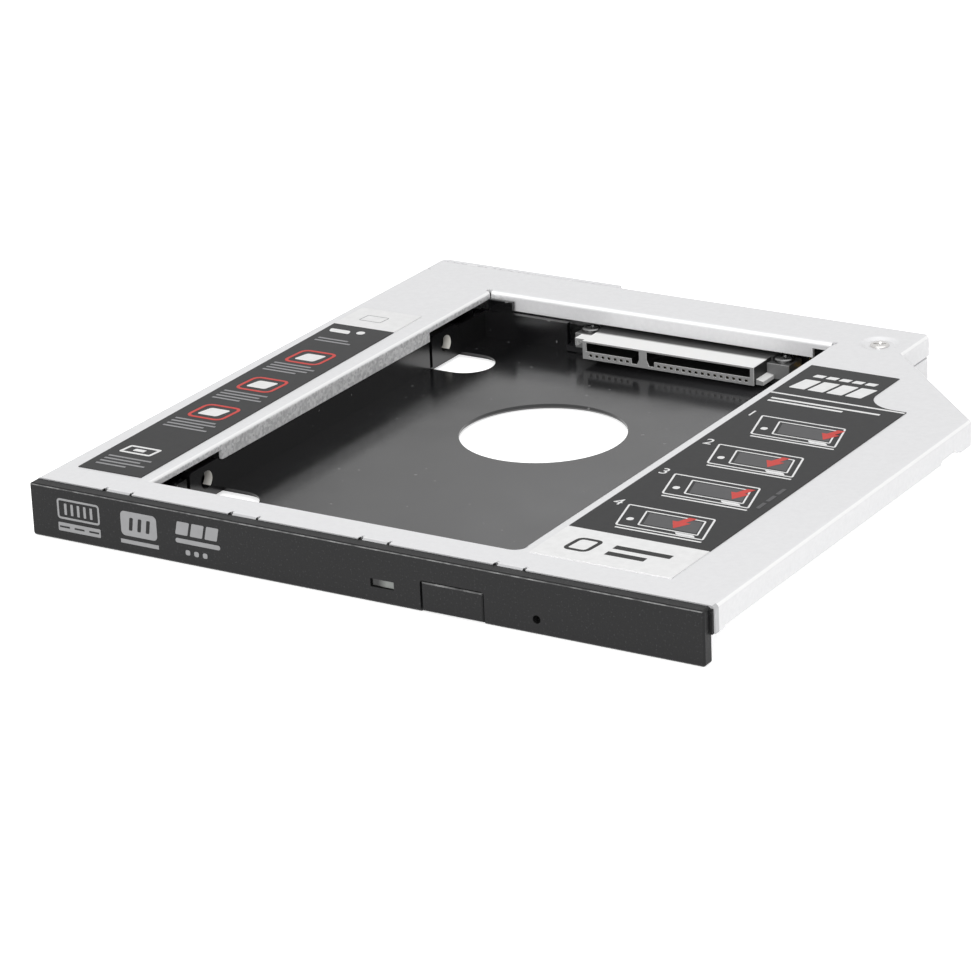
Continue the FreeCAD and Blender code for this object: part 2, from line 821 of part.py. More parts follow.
def front_bezel():
    front = -bezel_thickness
    outline = [(-half_width, 0.0, bezel_corner), (face_right, 0.0, bezel_corner),
               (face_right, bezel_height, bezel_corner), (-half_width, bezel_height, bezel_corner)]
    panel = along(outline, front, 0.0)
    panel = panel.makeChamfer(bezel_edge, [e for e in panel.Edges if on_front(e, front)])
    side_lip = box(face_right - bezel_corner, face_right + bezel_lip_width, -bezel_lip_depth, 0.0,
                   body_height - bezel_lip_drop, bezel_height - bezel_edge)
    pieces = [panel, side_lip]

    # Hooks that snap behind the cover's front tabs
    arm_top = body_height - front_tab_drop - 2.0 * fit
    back = cover_sheet + fit
    for x in front_tabs:
        profile = [
            (-fit, arm_top - hook_thickness),
            (back + hook_thickness / 2.0, arm_top - hook_thickness),
            (back + hook_barb, arm_top),
            (back + 0.7 * hook_barb, arm_top + hook_barb),
            (back, arm_top + 0.6 * hook_barb),
            (back, arm_top),
            (-fit, arm_top),
        ]
        pieces.append(across(profile, x - hook_width / 2.0, x + hook_width / 2.0))

    # Arms inside the case's side walls
    reach = tray_front - arm_gap
    arms = (
        (case_inner_left + 2.0 * fit, body_height - arm_drop_left),
        (case_inner_right - 2.0 * fit - arm_thickness, wing_bottom - arm_drop_right),
    )
    for x0, top in arms:
        profile = [(-fit, arm_bottom), (reach - arm_chamfer, arm_bottom),
                   (reach, arm_bottom + arm_chamfer), (reach, top - arm_chamfer),
                   (reach - arm_chamfer, top), (-fit, top)]
        pieces.append(across(profile, x0, x0 + arm_thickness))

    # Stiffening ribs behind the part that hangs below the wing
    rib_left = deep_right + stiffener_side
    rib_right = face_right - stiffener_side
    rib_top = wing_bottom - stiffener_drop
    rib_middle = (stiffener_bottom + rib_top) / 2.0
    rib_pitch = (rib_right - rib_left - stiffener) / (stiffener_count - 1)
    pieces.append(box(rib_left, rib_right, -fit, stiffener_depth, rib_middle - stiffener / 2.0,
                      rib_middle + stiffener / 2.0))
    for i in range(stiffener_count):
        x = rib_left + rib_pitch * i
        pieces.append(box(x, x + stiffener, -fit, stiffener_depth, stiffener_bottom, rib_top))
    bezel = fuse(pieces)

    window = along([(button_left, -bezel_corner), (button_right, -bezel_corner),
                    (button_right, button_top, bezel_corner),
                    (button_left, button_top, bezel_corner)], 2.0 * front, bezel_thickness)
    lamp_slot = box(slot_left, slot_right, 2.0 * front, bezel_thickness, slot_bottom, slot_top)
    pinhole = rod(pinhole_x, 2.0 * front, pinhole_z, pinhole_radius, 2.0 * bezel_thickness,
                  rear_y)
    return bezel.cut(window).cut(lamp_slot).cut(pinhole).removeSplitter()


def eject_button():
    x0 = button_left + button_gap
    x1 = button_right - button_gap
    top = button_top - button_gap
    cap = box(x0, x1, -bezel_thickness, 0.0, button_rise, top)
    cap = cap.makeChamfer(button_edge, [e for e in cap.Edges if on_front(e, -bezel_thickness)])
    flange = box(x0 - button_flange, x1 + button_flange, 0.0, button_flange_thickness,
                 button_rise + case_sheet + button_edge, button_top + button_flange_rise)
    boss = box(button_middle - button_boss_width / 2.0, button_middle + button_boss_width / 2.0,
               0.0, button_flange_thickness + button_boss_depth, button_boss_bottom, boss_top)
    return fuse([cap, flange, boss])


def button_spring():
    """Leaf between the tray's front wall and the button, bent from one strip."""
    back = tray_front
    front = button_flange_thickness + button_boss_depth
    half = spring_foot_gap / 2.0
    strip_back = back - spring_strip
    crown = spring_crown / 2.0
    slope = (strip_back - front) / (half - crown)
    shift = spring_strip * (math.sqrt(1.0 + slope * slope) - 1.0) / slope
    outer = spring_curve + spring_strip
    inner = spring_curve - spring_strip
    points = [
        (button_middle - half - spring_foot, strip_back),
        (button_middle - half - shift, strip_back, spring_curve),
        (button_middle - crown - shift, front, spring_curve),
        (button_middle + crown + shift, front, spring_curve),
        (button_middle + half + shift, strip_back, spring_curve),
        (button_middle + half + spring_foot, strip_back),
        (button_middle + half + spring_foot, back),
        (button_middle + half, back, outer),
        (button_middle + crown, front + spring_strip, inner),
        (button_middle - crown, front + spring_strip, inner),
        (button_middle - half, back, outer),
        (button_middle - half - spring_foot, back),
    ]
    return plate(points, button_boss_bottom + spring_margin, boss_top - spring_margin)


def lamp_window():
    light = box(slot_left + lamp_gap, slot_right - lamp_gap, lamp_setback - bezel_thickness, 0.0,
                slot_bottom + lamp_gap, slot_top - lamp_gap)
    flange = box(slot_left - lamp_flange, slot_right + lamp_flange, 0.0, 2.0 * lamp_flange,
                 slot_bottom - lamp_flange, slot_top + lamp_flange)
    return fuse([light, flange])


def circuit_board():
    board = box(board_left, board_right, board_front, board_rear, board_bottom, board_top)
    for x, y in board_screw_places:
        board = board.cut(rod(x, y, 0.0, screw_hole_radius, 2.0 * board_top))
    return board


def board_film():
    """Insulating strip under the soldered contacts, behind the screw pads."""
    return box(board_left + film_margin, board_right - film_margin,
               board_screw_y + board_pad + film_margin, board_rear - film_margin,
               board_bottom - film_thickness, board_bottom)


def pan_screw(x, y, z, length, head_height):
    """Screw standing head up, with its seat at the given place."""
    head = rod(x, y, z, screw_head_radius, head_height)
    rim = [e for e in head.Edges if abs(e.BoundBox.ZMin - z - head_height) < 1e-6]
    head = head.makeChamfer(head_edge, rim)
    screw = head.fuse(rod(x, y, z - length, screw_radius, length))
    return screw.cut(top_recess(x, y, z + head_height)).removeSplitter()


def top_recess(x, y, z):
    """Cross recess in a head that faces up, turned a little as screws are."""
    half = recess_arm / 2.0
    cross = fuse([
        box(x - recess_reach, x + recess_reach, y - half, y + half, z - recess_depth, z + bend),
        box(x - half, x + half, y - recess_reach, y + recess_reach, z - recess_depth, z + bend),
    ])
    cross.rotate(vec(x, y), vec(0, 0, 1), 20.0)
    return cross


def board_screws():
    return Part.makeCompound([
        pan_screw(x, y, ear_floor, board_screw_length, screw_head_height)
        for x, y in board_screw_places])


def cover_screw():
    return pan_screw(cover_screw_x, cover_screw_y, dimple_bottom, cover_screw_length,
                     low_head_height)


def bracket_screws():
    return Part.makeCompound([
        flush_screw(x, rear_extent, bracket_screw_z, front_y, bracket_screw_length, 0.0).cut(
            flush_recess(x, rear_extent, bracket_screw_z, front_y)).removeSplitter()
        for x in bracket_screws_x])


def case_screws():
    return Part.makeCompound([
        side_screw(y, 0.0).cut(
            flush_recess(-half_width, y, case_screw_z, right_x)).removeSplitter()
        for y in case_screw_places])


def rear_bracket():
    leg_x = bracket_left + bracket_sheet
    leg_front = body_depth - bracket_leg
    bracket = plate([
        (bracket_left, leg_front),
        (leg_x, leg_front),
        (leg_x, body_depth),
        (bracket_right, body_depth),
        (bracket_right, rear_extent),
        (bracket_left, rear_extent, bracket_corner),
    ], bracket_bottom, bracket_top)
    for x in bracket_screws_x:
        bracket = bracket.cut(flush_screw(x, rear_extent, bracket_screw_z, front_y,
                                          bracket_screw_length, fit / 5.0))
    for x in bracket_holes_x:
        bracket = bracket.cut(rod(x, body_depth - bend, bracket_holes_z, bracket_hole_radius,
                                  3.0 * bend, rear_y))
    return bracket.removeSplitter()


def socket_columns():
    """Contact places of the drive socket: data group on the left, supply on the right."""
    signal = [socket_left + signal_in + contact_pitch * i for i in range(signal_count)]
    power = [socket_left + power_in + contact_pitch * i for i in range(power_count)]
    return signal, power


def drive_socket():
    signal, power = socket_columns()
    x0 = socket_left
    x1 = socket_right
    z0 = board_top
    z1 = z0 + socket_height
    nose = box(x0, x1, socket_front, socket_back, z0, z1)
    body = box(x0 - socket_shoulder, x1 + socket_shoulder, socket_back, socket_body_end, z0, z1)
    ear_start = board_screw_y - socket_ear_front
    ears = box(x0 - socket_ear, x1 + socket_ear, ear_start, ear_start + socket_ear_depth, z0,
               ear_floor)
    # Guides for the drive: a hooked arm at the upper left and a ledge at the lower right
    arm = x0 - hook_reach
    hook = along([(arm, z1 - hook_fall), (arm + hook_strip, z1 - hook_fall),
                  (arm + hook_strip, z1 - hook_strip), (x0, z1 - hook_strip), (x0, z1),
                  (arm, z1)], socket_front + hook_start, socket_front + hook_end)
    ledge = along([(x1, z0), (x1 + guide_reach, z0), (x1 + guide_reach, z0 + 0.7 * guide_rise),
                   (x1, z0 + guide_rise)], socket_front + hook_start, socket_back)
    socket = fuse([nose, body, ears, hook, ledge])

    pillar_middle = (signal[-1] + power[0]) / 2.0
    ledge_top = z0 + socket_ledge
    slot_front = socket_front - socket_pillar
    slot_back = socket_front + socket_slot_depth
    pillar_left = pillar_middle - socket_pillar / 2.0
    pillar_right = pillar_middle + socket_pillar / 2.0
    key_floor = z0 + socket_key_floor
    socket = socket.cut(fuse([
        box(x0 + socket_side_wall, pillar_left, slot_front, slot_back, ledge_top,
            z1 - socket_top_wall),
        box(pillar_right, x1 - socket_side_wall, slot_front, slot_back, ledge_top,
            z1 - socket_top_wall),
        box(pillar_left - socket_key_width, pillar_left, slot_front, slot_back, key_floor,
            ledge_top),
        box(pillar_right, pillar_right + socket_key_width, slot_front, slot_back, key_floor,
            ledge_top),
    ]))
    for x, side in ((pillar_left, -1), (pillar_right, 1)):
        foot = along([(x, key_floor), (x + side * pillar_foot, key_floor),
                      (x, key_floor + 2.0 * pillar_foot)], socket_front, slot_back)
        socket = socket.fuse(foot)
    for x in signal + power:
        socket = socket.cut(contact_channel(x))
    for x, y in board_screw_places:
        socket = socket.cut(rod(x, y, 0.0, screw_hole_radius, body_height))
    return socket.removeSplitter()


def contact_channel(x):
    """Passage for one contact through the socket, wider at its mouth."""
    z = board_top + contact_rise
    half = contact_width / 2.0
    tunnel = box(x - half, x + half, socket_front + contact_setback, socket_body_end + bend, z,
                 z + contact_thickness)
    mouth = box(x - half - 2.0 * fit, x + half + 2.0 * fit, socket_front - bend,
                socket_front + bend, z - 3.0 * fit, z + contact_thickness + 3.0 * fit)
    return tunnel.fuse(mouth)


def socket_contacts():
    signal, power = socket_columns()
    z = board_top + contact_rise
    t = contact_thickness
    start = socket_front + 4.0 * contact_setback
    out = socket_body_end + fit
    end = socket_body_end + contact_tail
    profile = [
        (start, z),
        (out, z),
        (out, board_top),
        (end, board_top),
        (end, board_top + t),
        (out + t, board_top + t),
        (out + t, z + t),
        (start, z + t),
    ]
    half = contact_width / 2.0
    return Part.makeCompound([across(profile, x - half, x + half) for x in signal + power])


def plug_columns():
    """Contact places of the rear plug: data group on the left, supply group on the right."""
    gaps = plug_signal_count + plug_power_count - 1
    span = contact_pitch * gaps + plug_key_gap
    first = (plug_left + plug_right - span) / 2.0
    signal = [first + contact_pitch * i for i in range(plug_signal_count)]
    start = signal[-1] + contact_pitch + plug_key_gap
    power = [start + contact_pitch * i for i in range(plug_power_count)]
    return signal, power


def rear_plug():
    signal, power = plug_columns()
    z0 = board_top
    z1 = z0 + plug_height
    shell = box(plug_left, plug_right, plug_start, plug_back, z0, z1)
    shell = shell.cut(box(plug_left + plug_wall, plug_right - plug_wall,
                          plug_back - plug_mouth_depth, plug_back + plug_wall, z0 + plug_wall,
                          z1 - plug_wall))
    tongue_z = z0 + plug_wall + plug_tongue_rise
    tongue_top = tongue_z + plug_tongue
    half = contact_width / 2.0
    for group in (signal, power):
        shell = shell.fuse(box(group[0] - plug_tongue_margin, group[-1] + plug_tongue_margin,
                               plug_start + plug_wall, plug_back - plug_tongue_rise, tongue_z,
                               tongue_top))
    for x in signal + power:
        shell = shell.cut(box(x - half, x + half, plug_start - plug_wall,
                              plug_back - plug_tongue_margin, tongue_top - contact_thickness,
                              tongue_top))
    return shell.removeSplitter()


def plug_contacts():
    signal, power = plug_columns()
    t = contact_thickness
    top = board_top + plug_wall + plug_tongue_rise + plug_tongue
    tip = plug_back - plug_tongue_margin - fit
    out = plug_start - fit
    end = plug_start - plug_tail
    profile = [
        (tip, top - t),
        (tip, top),
        (out - t, top),
        (out - t, board_top + t),
        (end, board_top + t),
        (end, board_top),
        (out, board_top),
        (out, top - t),
    ]
    half = contact_width / 2.0
    return Part.makeCompound([across(profile, x - half, x + half) for x in signal + power])


def board_capacitors():
    """Evenly spaced on the board's free stretch to the left of the rear plug."""
    pitch = (plug_left - board_left) / (capacitor_count + 1)
    half_l = capacitor_length / 2.0
    half_w = capacitor_width / 2.0
    y = board_rear - capacitor_rear
    places = [board_left + pitch * (i + 1) for i in range(capacitor_count)]
    return Part.makeCompound([
        box(x - half_l, x + half_l, y - half_w, y + half_w, board_top,
            board_top + capacitor_height) for x in places])


def left_label():
    x = -half_width + left_label_in
    y = bay_front + left_label_middle_y
    half_w = left_label_width / 2.0
    half_l = left_label_length / 2.0
    label = box(x - half_w, x + half_w, y - half_l, y + half_l, body_height,
                body_height + label_thickness)
    label.rotate(vec(x, y), vec(0, 0, 1), left_label_turn)
    return label


def right_label():
    x0 = bay_right + right_label_gap
    x1 = x0 + right_label_width
    y0 = bay_front + label_after_bay
    y1 = wing_length + right_label_over
    head = x0 + right_label_head
    neck = y1 - right_label_neck
    return plate([(x0, y0), (x1, y0), (x1, neck), (head, neck, right_label_curve), (head, y1),
                  (x0, y1)], body_height, body_height + label_thickness)


pieces = {
    "top_cover": top_cover,
    "lower_case": lower_case,
    "drive_tray": drive_tray,
    "front_bezel": front_bezel,
    "eject_button": eject_button,
    "button_spring": button_spring,
    "lamp_window": lamp_window,
    "circuit_board": circuit_board,
    "board_film": board_film,
    "board_screws": board_screws,
    "board_capacitors": board_capacitors,
    "drive_socket": drive_socket,
    "socket_contacts": socket_contacts,
    "rear_plug": rear_plug,
    "plug_contacts": plug_contacts,
    "cover_screw": cover_screw,
    "rear_bracket": rear_bracket,
    "bracket_screws": bracket_screws,
    "case_screws": case_screws,
    "left_label": left_label,
    "right_label": right_label,
}

os.makedirs("parts", exist_ok=True)
for name, make in pieces.items():
    shape = make()
    shape.translate(vec(0.0, -middle_y))
    shape.exportStep("parts/" + name + ".step")
    print(name, len(shape.Solids), "valid" if shape.isValid() else "INVALID",
          round(shape.Volume, 1))
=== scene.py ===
# %% [markdown]
# # A laptop drive caddy
# The caddy is a flat carrier: folded bright sheet on top, a shiny black moulded tray in the
# open bay, a matt black front bezel with a small button, and two printed stickers. The packed
# solids already have the true shapes, so this lesson gives them their finishes and adds the
# thin print on the stickers and the bezel. A plain white studio comes last.

import math

import bpy
from mathutils import Matrix, Vector


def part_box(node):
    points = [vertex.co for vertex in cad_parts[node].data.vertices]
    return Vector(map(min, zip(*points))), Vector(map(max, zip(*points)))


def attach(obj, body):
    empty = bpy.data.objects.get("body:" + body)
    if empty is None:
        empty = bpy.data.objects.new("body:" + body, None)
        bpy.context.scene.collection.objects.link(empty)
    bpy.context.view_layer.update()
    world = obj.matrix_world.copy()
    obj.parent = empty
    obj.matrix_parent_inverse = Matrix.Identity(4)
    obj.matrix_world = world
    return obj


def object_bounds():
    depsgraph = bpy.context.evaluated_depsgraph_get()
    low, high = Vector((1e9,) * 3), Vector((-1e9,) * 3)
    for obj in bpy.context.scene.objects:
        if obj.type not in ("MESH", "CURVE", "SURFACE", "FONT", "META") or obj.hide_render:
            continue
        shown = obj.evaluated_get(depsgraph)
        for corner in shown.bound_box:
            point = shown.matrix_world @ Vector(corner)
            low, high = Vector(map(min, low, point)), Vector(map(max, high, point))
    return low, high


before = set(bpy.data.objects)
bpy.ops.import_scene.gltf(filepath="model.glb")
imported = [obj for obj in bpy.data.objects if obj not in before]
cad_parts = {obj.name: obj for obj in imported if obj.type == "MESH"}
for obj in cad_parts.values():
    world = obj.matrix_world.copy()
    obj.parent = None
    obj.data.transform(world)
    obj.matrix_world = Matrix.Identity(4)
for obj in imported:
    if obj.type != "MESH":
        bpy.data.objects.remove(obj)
cad_box = [list(corner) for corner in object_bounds()]
MM = 0.001
print("solids loaded:", len(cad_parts), "box", cad_box)

# %% [markdown]
# ## The camera
# The picture was taken from the front right, a little above the caddy, with a long lens. The
# angles below turn the view directions into a camera matrix: its columns are the picture's
# right, the picture's up, and backwards along the line of sight.

# %% Camera
IMAGE_SIZE = 980
VIEW_AZIMUTH = math.radians(32.1485)
VIEW_ELEVATION = math.radians(21.0485)
VIEW_ROLL = math.radians(-2.4623)
FOCAL_PIXELS = 4327.4
SENSOR_MM = 36.0
CAMERA_PLACE = Vector((0.357402, -0.592210, 0.262475))


def add_camera():
    forward = Vector((-math.sin(VIEW_AZIMUTH) * math.cos(VIEW_ELEVATION),
                      math.cos(VIEW_AZIMUTH) * math.cos(VIEW_ELEVATION),
                      -math.sin(VIEW_ELEVATION)))
    level = forward.cross(Vector((0, 0, 1))).normalized()
    above = level.cross(forward)
    right = level * math.cos(VIEW_ROLL) + above * math.sin(VIEW_ROLL)
    up = above * math.cos(VIEW_ROLL) - level * math.sin(VIEW_ROLL)
    turn = Matrix((right, up, -forward)).transposed().to_4x4()
    data = bpy.data.cameras.new("studio_camera")
    data.sensor_width = SENSOR_MM
    data.lens = FOCAL_PIXELS * SENSOR_MM / IMAGE_SIZE
    data.clip_start = 0.05
    data.clip_end = 20.0
    camera = bpy.data.objects.new("studio_camera", data)
    bpy.context.collection.objects.link(camera)
    camera.matrix_world = Matrix.Translation(CAMERA_PLACE) @ turn
    bpy.context.scene.camera = camera
    print("camera lens", round(data.lens, 2), "mm")


add_camera()

# %% [markdown]
# ## Material helpers
# Every finish is built from the same few steps, so small helpers make a material, add a node
# and join two sockets. Patterns read Object coordinates, which stay fixed to the part when the
# camera moves.

# %% Nodes and links
def new_material(name, colour, metallic=0.0, roughness=0.5):
    material = bpy.data.materials.new(name)
    material.use_nodes = True
    shader = material.node_tree.nodes["Principled BSDF"]
    shader.inputs["Base Color"].default_value = (*colour, 1.0)
    shader.inputs["Metallic"].default_value = metallic
    shader.inputs["Roughness"].default_value = roughness
    return material, shader


def add_node(material, kind, **values):
    node = material.node_tree.nodes.new(kind)
    for key, value in values.items():
        setattr(node, key, value)
    return node


def join(material, source, target):
    material.node_tree.links.new(source, target)


# %% Patterns
def noise(material, scale, detail=3.0):
    """Noise on Object coordinates; scale is in features per metre."""
    place = add_node(material, "ShaderNodeTexCoord")
    texture = add_node(material, "ShaderNodeTexNoise")
    texture.inputs["Scale"].default_value = scale
    texture.inputs["Detail"].default_value = detail
    join(material, place.outputs["Object"], texture.inputs["Vector"])
    return texture.outputs["Fac"]


def flakes(material, scale):
    """Irregular crystal patches, each with its own even grey, as on zinc-plated sheet."""
    place = add_node(material, "ShaderNodeTexCoord")
    texture = add_node(material, "ShaderNodeTexVoronoi")
    texture.inputs["Scale"].default_value = scale
    parts = add_node(material, "ShaderNodeSeparateColor")
    join(material, place.outputs["Object"], texture.inputs["Vector"])
    join(material, texture.outputs["Color"], parts.inputs["Color"])
    return parts.outputs["Red"]


def spread(material, source, low, high, from_low=0.3, from_high=0.7):
    """A number that runs from low to high as the source does."""
    node = add_node(material, "ShaderNodeMapRange")
    node.inputs["From Min"].default_value = from_low
    node.inputs["From Max"].default_value = from_high
    node.inputs["To Min"].default_value = low
    node.inputs["To Max"].default_value = high
    join(material, source, node.inputs["Value"])
    return node.outputs["Result"]


def sums(material, operation, first, second=0.0):
    """One step of arithmetic; each value is a number or a socket."""
    node = add_node(material, "ShaderNodeMath", operation=operation)
    for socket, value in zip(node.inputs, (first, second)):
        if isinstance(value, (int, float)):
            socket.default_value = value
        else:
            join(material, value, socket)
    return node.outputs[0]


def all_of(material, *masks):
    """1 only where every mask is 1."""
    result = masks[0]
    for mask in masks[1:]:
        result = sums(material, "MULTIPLY", result, mask)
    return result


# %% Colours, relief and places
def blend(material, source, first, second):
    """A colour between two, by a number from 0 to 1; each is a colour or a socket."""
    node = add_node(material, "ShaderNodeMix", data_type="RGBA")
    for socket, value in ((node.inputs[6], first), (node.inputs[7], second)):
        if isinstance(value, tuple):
            socket.default_value = (*value, 1.0)
        else:
            join(material, value, socket)
    join(material, source, node.inputs["Factor"])
    return node.outputs[2]


def bump(material, shader, source, height, strength=1.0):
    node = add_node(material, "ShaderNodeBump")
    node.inputs["Distance"].default_value = height
    node.inputs["Strength"].default_value = strength
    join(material, source, node.inputs["Height"])
    join(material, node.outputs["Normal"], shader.inputs["Normal"])


def place_axes(material):
    """The X, Y and Z of a point on the part."""
    place = add_node(material, "ShaderNodeTexCoord")
    parts = add_node(material, "ShaderNodeSeparateXYZ")
    join(material, place.outputs["Object"], parts.inputs["Vector"])
    return parts.outputs


def facing_axes(material):
    """The X, Y and Z of the direction that a point of the surface faces."""
    surface = add_node(material, "ShaderNodeNewGeometry")
    parts = add_node(material, "ShaderNodeSeparateXYZ")
    join(material, surface.outputs["Normal"], parts.inputs["Vector"])
    return parts.outputs


def paint(node, material):
    """Give a solid one finish in all its slots."""
    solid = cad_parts[node]
    if not solid.material_slots:
        solid.data.materials.append(material)
    for entry in solid.material_slots:
        entry.material = material


# %% [markdown]
# ## Bright sheet
# The cover, the case and the rear bracket are thin zinc-plated sheet with a very fine grain.
# The long lip at the left of the bay shows the zinc's crystal flakes, so upright faces at the
# left get a flaky pattern over painted light that makes them paler. Every rounded fold gets a
# painted highlight, paler than the flat sheet, except on the four tabs in front, which get
# painted shade, with a painted shadow of a small notch at each side. Zinc scatters light more
# than polished metal does, so the finish is only partly metallic.

# %% Tabs and painted notch shadows
FRONT_Y = cad_box[0][1]
TAB_END = 3.3 * MM
TAB_PAINTED_SHADE = (0.50, 0.50, 0.51)
TAB_FIRST = -47.6 * MM
TAB_PITCH = 25.05 * MM
TAB_LAST_X = 40.0 * MM
NOTCH_PLACE = 2.625 * MM
NOTCH_HALF = 0.33 * MM
NOTCH_END = 2.85 * MM
NOTCH_FLOOR = 8.0 * MM
NOTCH_PAINTED_SHADOW = (0.012, 0.012, 0.012)


def painted_notch_shadows(material, place):
    """1 where a painted shadow of a small notch lies at each side of the four front tabs."""
    start = sums(material, "SUBTRACT", place["X"], TAB_FIRST - TAB_PITCH / 2.0)
    along = sums(material, "FLOORED_MODULO", start, TAB_PITCH)
    across = sums(material, "ABSOLUTE", sums(material, "SUBTRACT", along, TAB_PITCH / 2.0))
    beside = sums(material, "ABSOLUTE", sums(material, "SUBTRACT", across, NOTCH_PLACE))
    return all_of(material,
                  sums(material, "LESS_THAN", beside, NOTCH_HALF),
                  sums(material, "LESS_THAN", place["Y"], FRONT_Y + NOTCH_END),
                  sums(material, "LESS_THAN", place["X"], TAB_LAST_X),
                  sums(material, "GREATER_THAN", place["Z"], NOTCH_FLOOR))


# %% Sheet finishes
FLAKE_SIZE = 0.5 * MM
GRAIN_SIZE = 0.9 * MM
GRAIN_HEIGHT = 0.01 * MM
FLAKY_SIDE = -45.0 * MM
FLAKY_FADE = 5.0 * MM
FOLD_PAINTED_HIGHLIGHT = (0.95, 0.95, 0.95)
LEFT_UPRIGHT_PAINTED_LIGHT = (0.93, 0.93, 0.93)


def sheet_metal(name, colour, roughness, metallic):
    """Zinc-plated sheet: fine grain, a painted highlight on the folds, flakes over painted light on
    upright faces at the left, and painted shade on the front tabs with painted notch shadows.
    """
    material, shader = new_material(name, colour, metallic, roughness)
    grain = noise(material, 1.0 / GRAIN_SIZE, 4.0)
    place = place_axes(material)
    level = sums(material, "ABSOLUTE", facing_axes(material)["Z"])
    upright = spread(material, level, 1.0, 0.0, 0.2, 0.5)
    left = spread(material, place["X"], 1.0, 0.12, FLAKY_SIDE, FLAKY_SIDE + FLAKY_FADE)
    # Painted light: upright faces at the left get a paler base colour; the crystal flakes on them
    # are the zinc's own.
    zinc = all_of(material, upright, left)
    crystal = spread(material, flakes(material, 1.0 / FLAKE_SIZE), 0.0, 1.0, 0.0, 1.0)
    darkness = sums(material, "ADD", all_of(material, crystal, zinc),
                    spread(material, grain, 0.0, 0.15))
    darker = tuple(0.80 * c for c in colour)
    plain = blend(material, darkness, blend(material, zinc, colour, LEFT_UPRIGHT_PAINTED_LIGHT), darker)
    # Painted highlight: rounded folds, neither flat nor upright, are made paler than the flat
    # sheet.
    fold_highlight = all_of(material, spread(material, level, 0.0, 1.0, 0.25, 0.45),
                  spread(material, level, 1.0, 0.0, 0.80, 0.90))
    front = sums(material, "LESS_THAN", place["Y"], FRONT_Y + TAB_END)
    # Painted shade: the front tabs' upright and bent faces are made greyer than the sheet.
    tab_shade = all_of(material, spread(material, level, 1.0, 0.0, 0.93, 0.98), front)
    sheet = blend(material, tab_shade, blend(material, fold_highlight, plain, FOLD_PAINTED_HIGHLIGHT), TAB_PAINTED_SHADE)
    # Painted shadow: dark patches at each side of the front tabs stand for the shade in their
    # notches.
    with_notch_shadows = blend(material, painted_notch_shadows(material, place), sheet, NOTCH_PAINTED_SHADOW)
    join(material, with_notch_shadows, shader.inputs["Base Color"])
    join(material, spread(material, grain, roughness - 0.04, roughness + 0.05),
         shader.inputs["Roughness"])
    bump(material, shader, grain, GRAIN_HEIGHT, 0.3)
    return material


cover_metal = sheet_metal("bright_sheet", (0.79, 0.79, 0.80), 0.42, 0.3)
case_metal = sheet_metal("case_sheet", (0.78, 0.78, 0.79), 0.42, 0.3)
paint("top_cover", cover_metal)
paint("lower_case", case_metal)
paint("rear_bracket", case_metal)
print("sheet finishes set")

# %% [markdown]
# ## Black mouldings
# The tray is glossy black plastic that mirrors the studio at a low angle; on its upward faces a
# painted sheen grows towards the right, and its two screw holes hold painted light. The bezel
# and the button have a fine spark-eroded texture with tiny pale specks, and a painted
# highlight makes a thin light line along the foot of the top front chamfer of each.

# %% Tray plastic
EAR_BORES = (-40.0 * MM, 36.6 * MM)
BORE_HEIGHT = 4.0 * MM
BORE_REACH = 1.63 * MM
BORE_LIT = 0.9 * MM
BORE_PAINTED_LIGHT = (0.80, 0.78, 0.73)
TRAY_BLACK = (0.0045, 0.0045, 0.005)
TRAY_PAINTED_SHEEN = (0.080, 0.080, 0.083)
SHEEN_FROM = -30.0 * MM
SHEEN_TO = 30.0 * MM


def glossy_plastic(name, colour, roughness):
    """Black plastic whose shine is cloudy, with a few specks of dust."""
    material, shader = new_material(name, colour, 0.0, roughness)
    cloud = noise(material, 45.0, 4.0)
    join(material, spread(material, cloud, roughness - 0.03, roughness + 0.12),
         shader.inputs["Roughness"])
    dust = spread(material, noise(material, 900.0, 0.0), 0.0, 1.0, 0.835, 0.85)
    paler = tuple(c + 0.12 for c in colour)
    return material, shader, blend(material, dust, colour, paler)


def tray_finish():
    """The tray: faint cloudy patches of painted sheen that grow towards the right, and painted
    light in its two screw holes.
    """
    material, shader, colour = glossy_plastic("tray_plastic", TRAY_BLACK, 0.14)
    place = place_axes(material)
    inside = []
    # Painted light: the far part of each ear's screw bore is made pale.
    for bore in EAR_BORES:
        across = sums(material, "POWER", sums(material, "SUBTRACT", place["Y"], bore), 2.0)
        above = sums(material, "POWER", sums(material, "SUBTRACT", place["Z"], BORE_HEIGHT), 2.0)
        reach = sums(material, "ADD", across, above)
        inside.append(all_of(material, sums(material, "LESS_THAN", reach, BORE_REACH ** 2),
                             sums(material, "GREATER_THAN", place["Y"], bore + BORE_LIT)))
    bore_light = sums(material, "MAXIMUM", *inside)
    # Painted sheen: upward faces grow lighter from left to right, in cloudy patches.
    painted_sheen = all_of(material, spread(material, place["X"], 0.0, 1.0, SHEEN_FROM, SHEEN_TO),
                  spread(material, noise(material, 30.0), 0.35, 1.0),
                  spread(material, facing_axes(material)["Z"], 0.0, 1.0, 0.5, 0.9))
    sheened = blend(material, painted_sheen, colour, TRAY_PAINTED_SHEEN)
    join(material, blend(material, bore_light, sheened, BORE_PAINTED_LIGHT), shader.inputs["Base Color"])
    return material


tray_black = tray_finish()
connector_black, connector_shader, connector_colour = glossy_plastic(
    "connector_plastic", (0.015, 0.015, 0.015), 0.3)
join(connector_black, connector_colour, connector_shader.inputs["Base Color"])
paint("drive_tray", tray_black)
paint("rear_plug", connector_black)

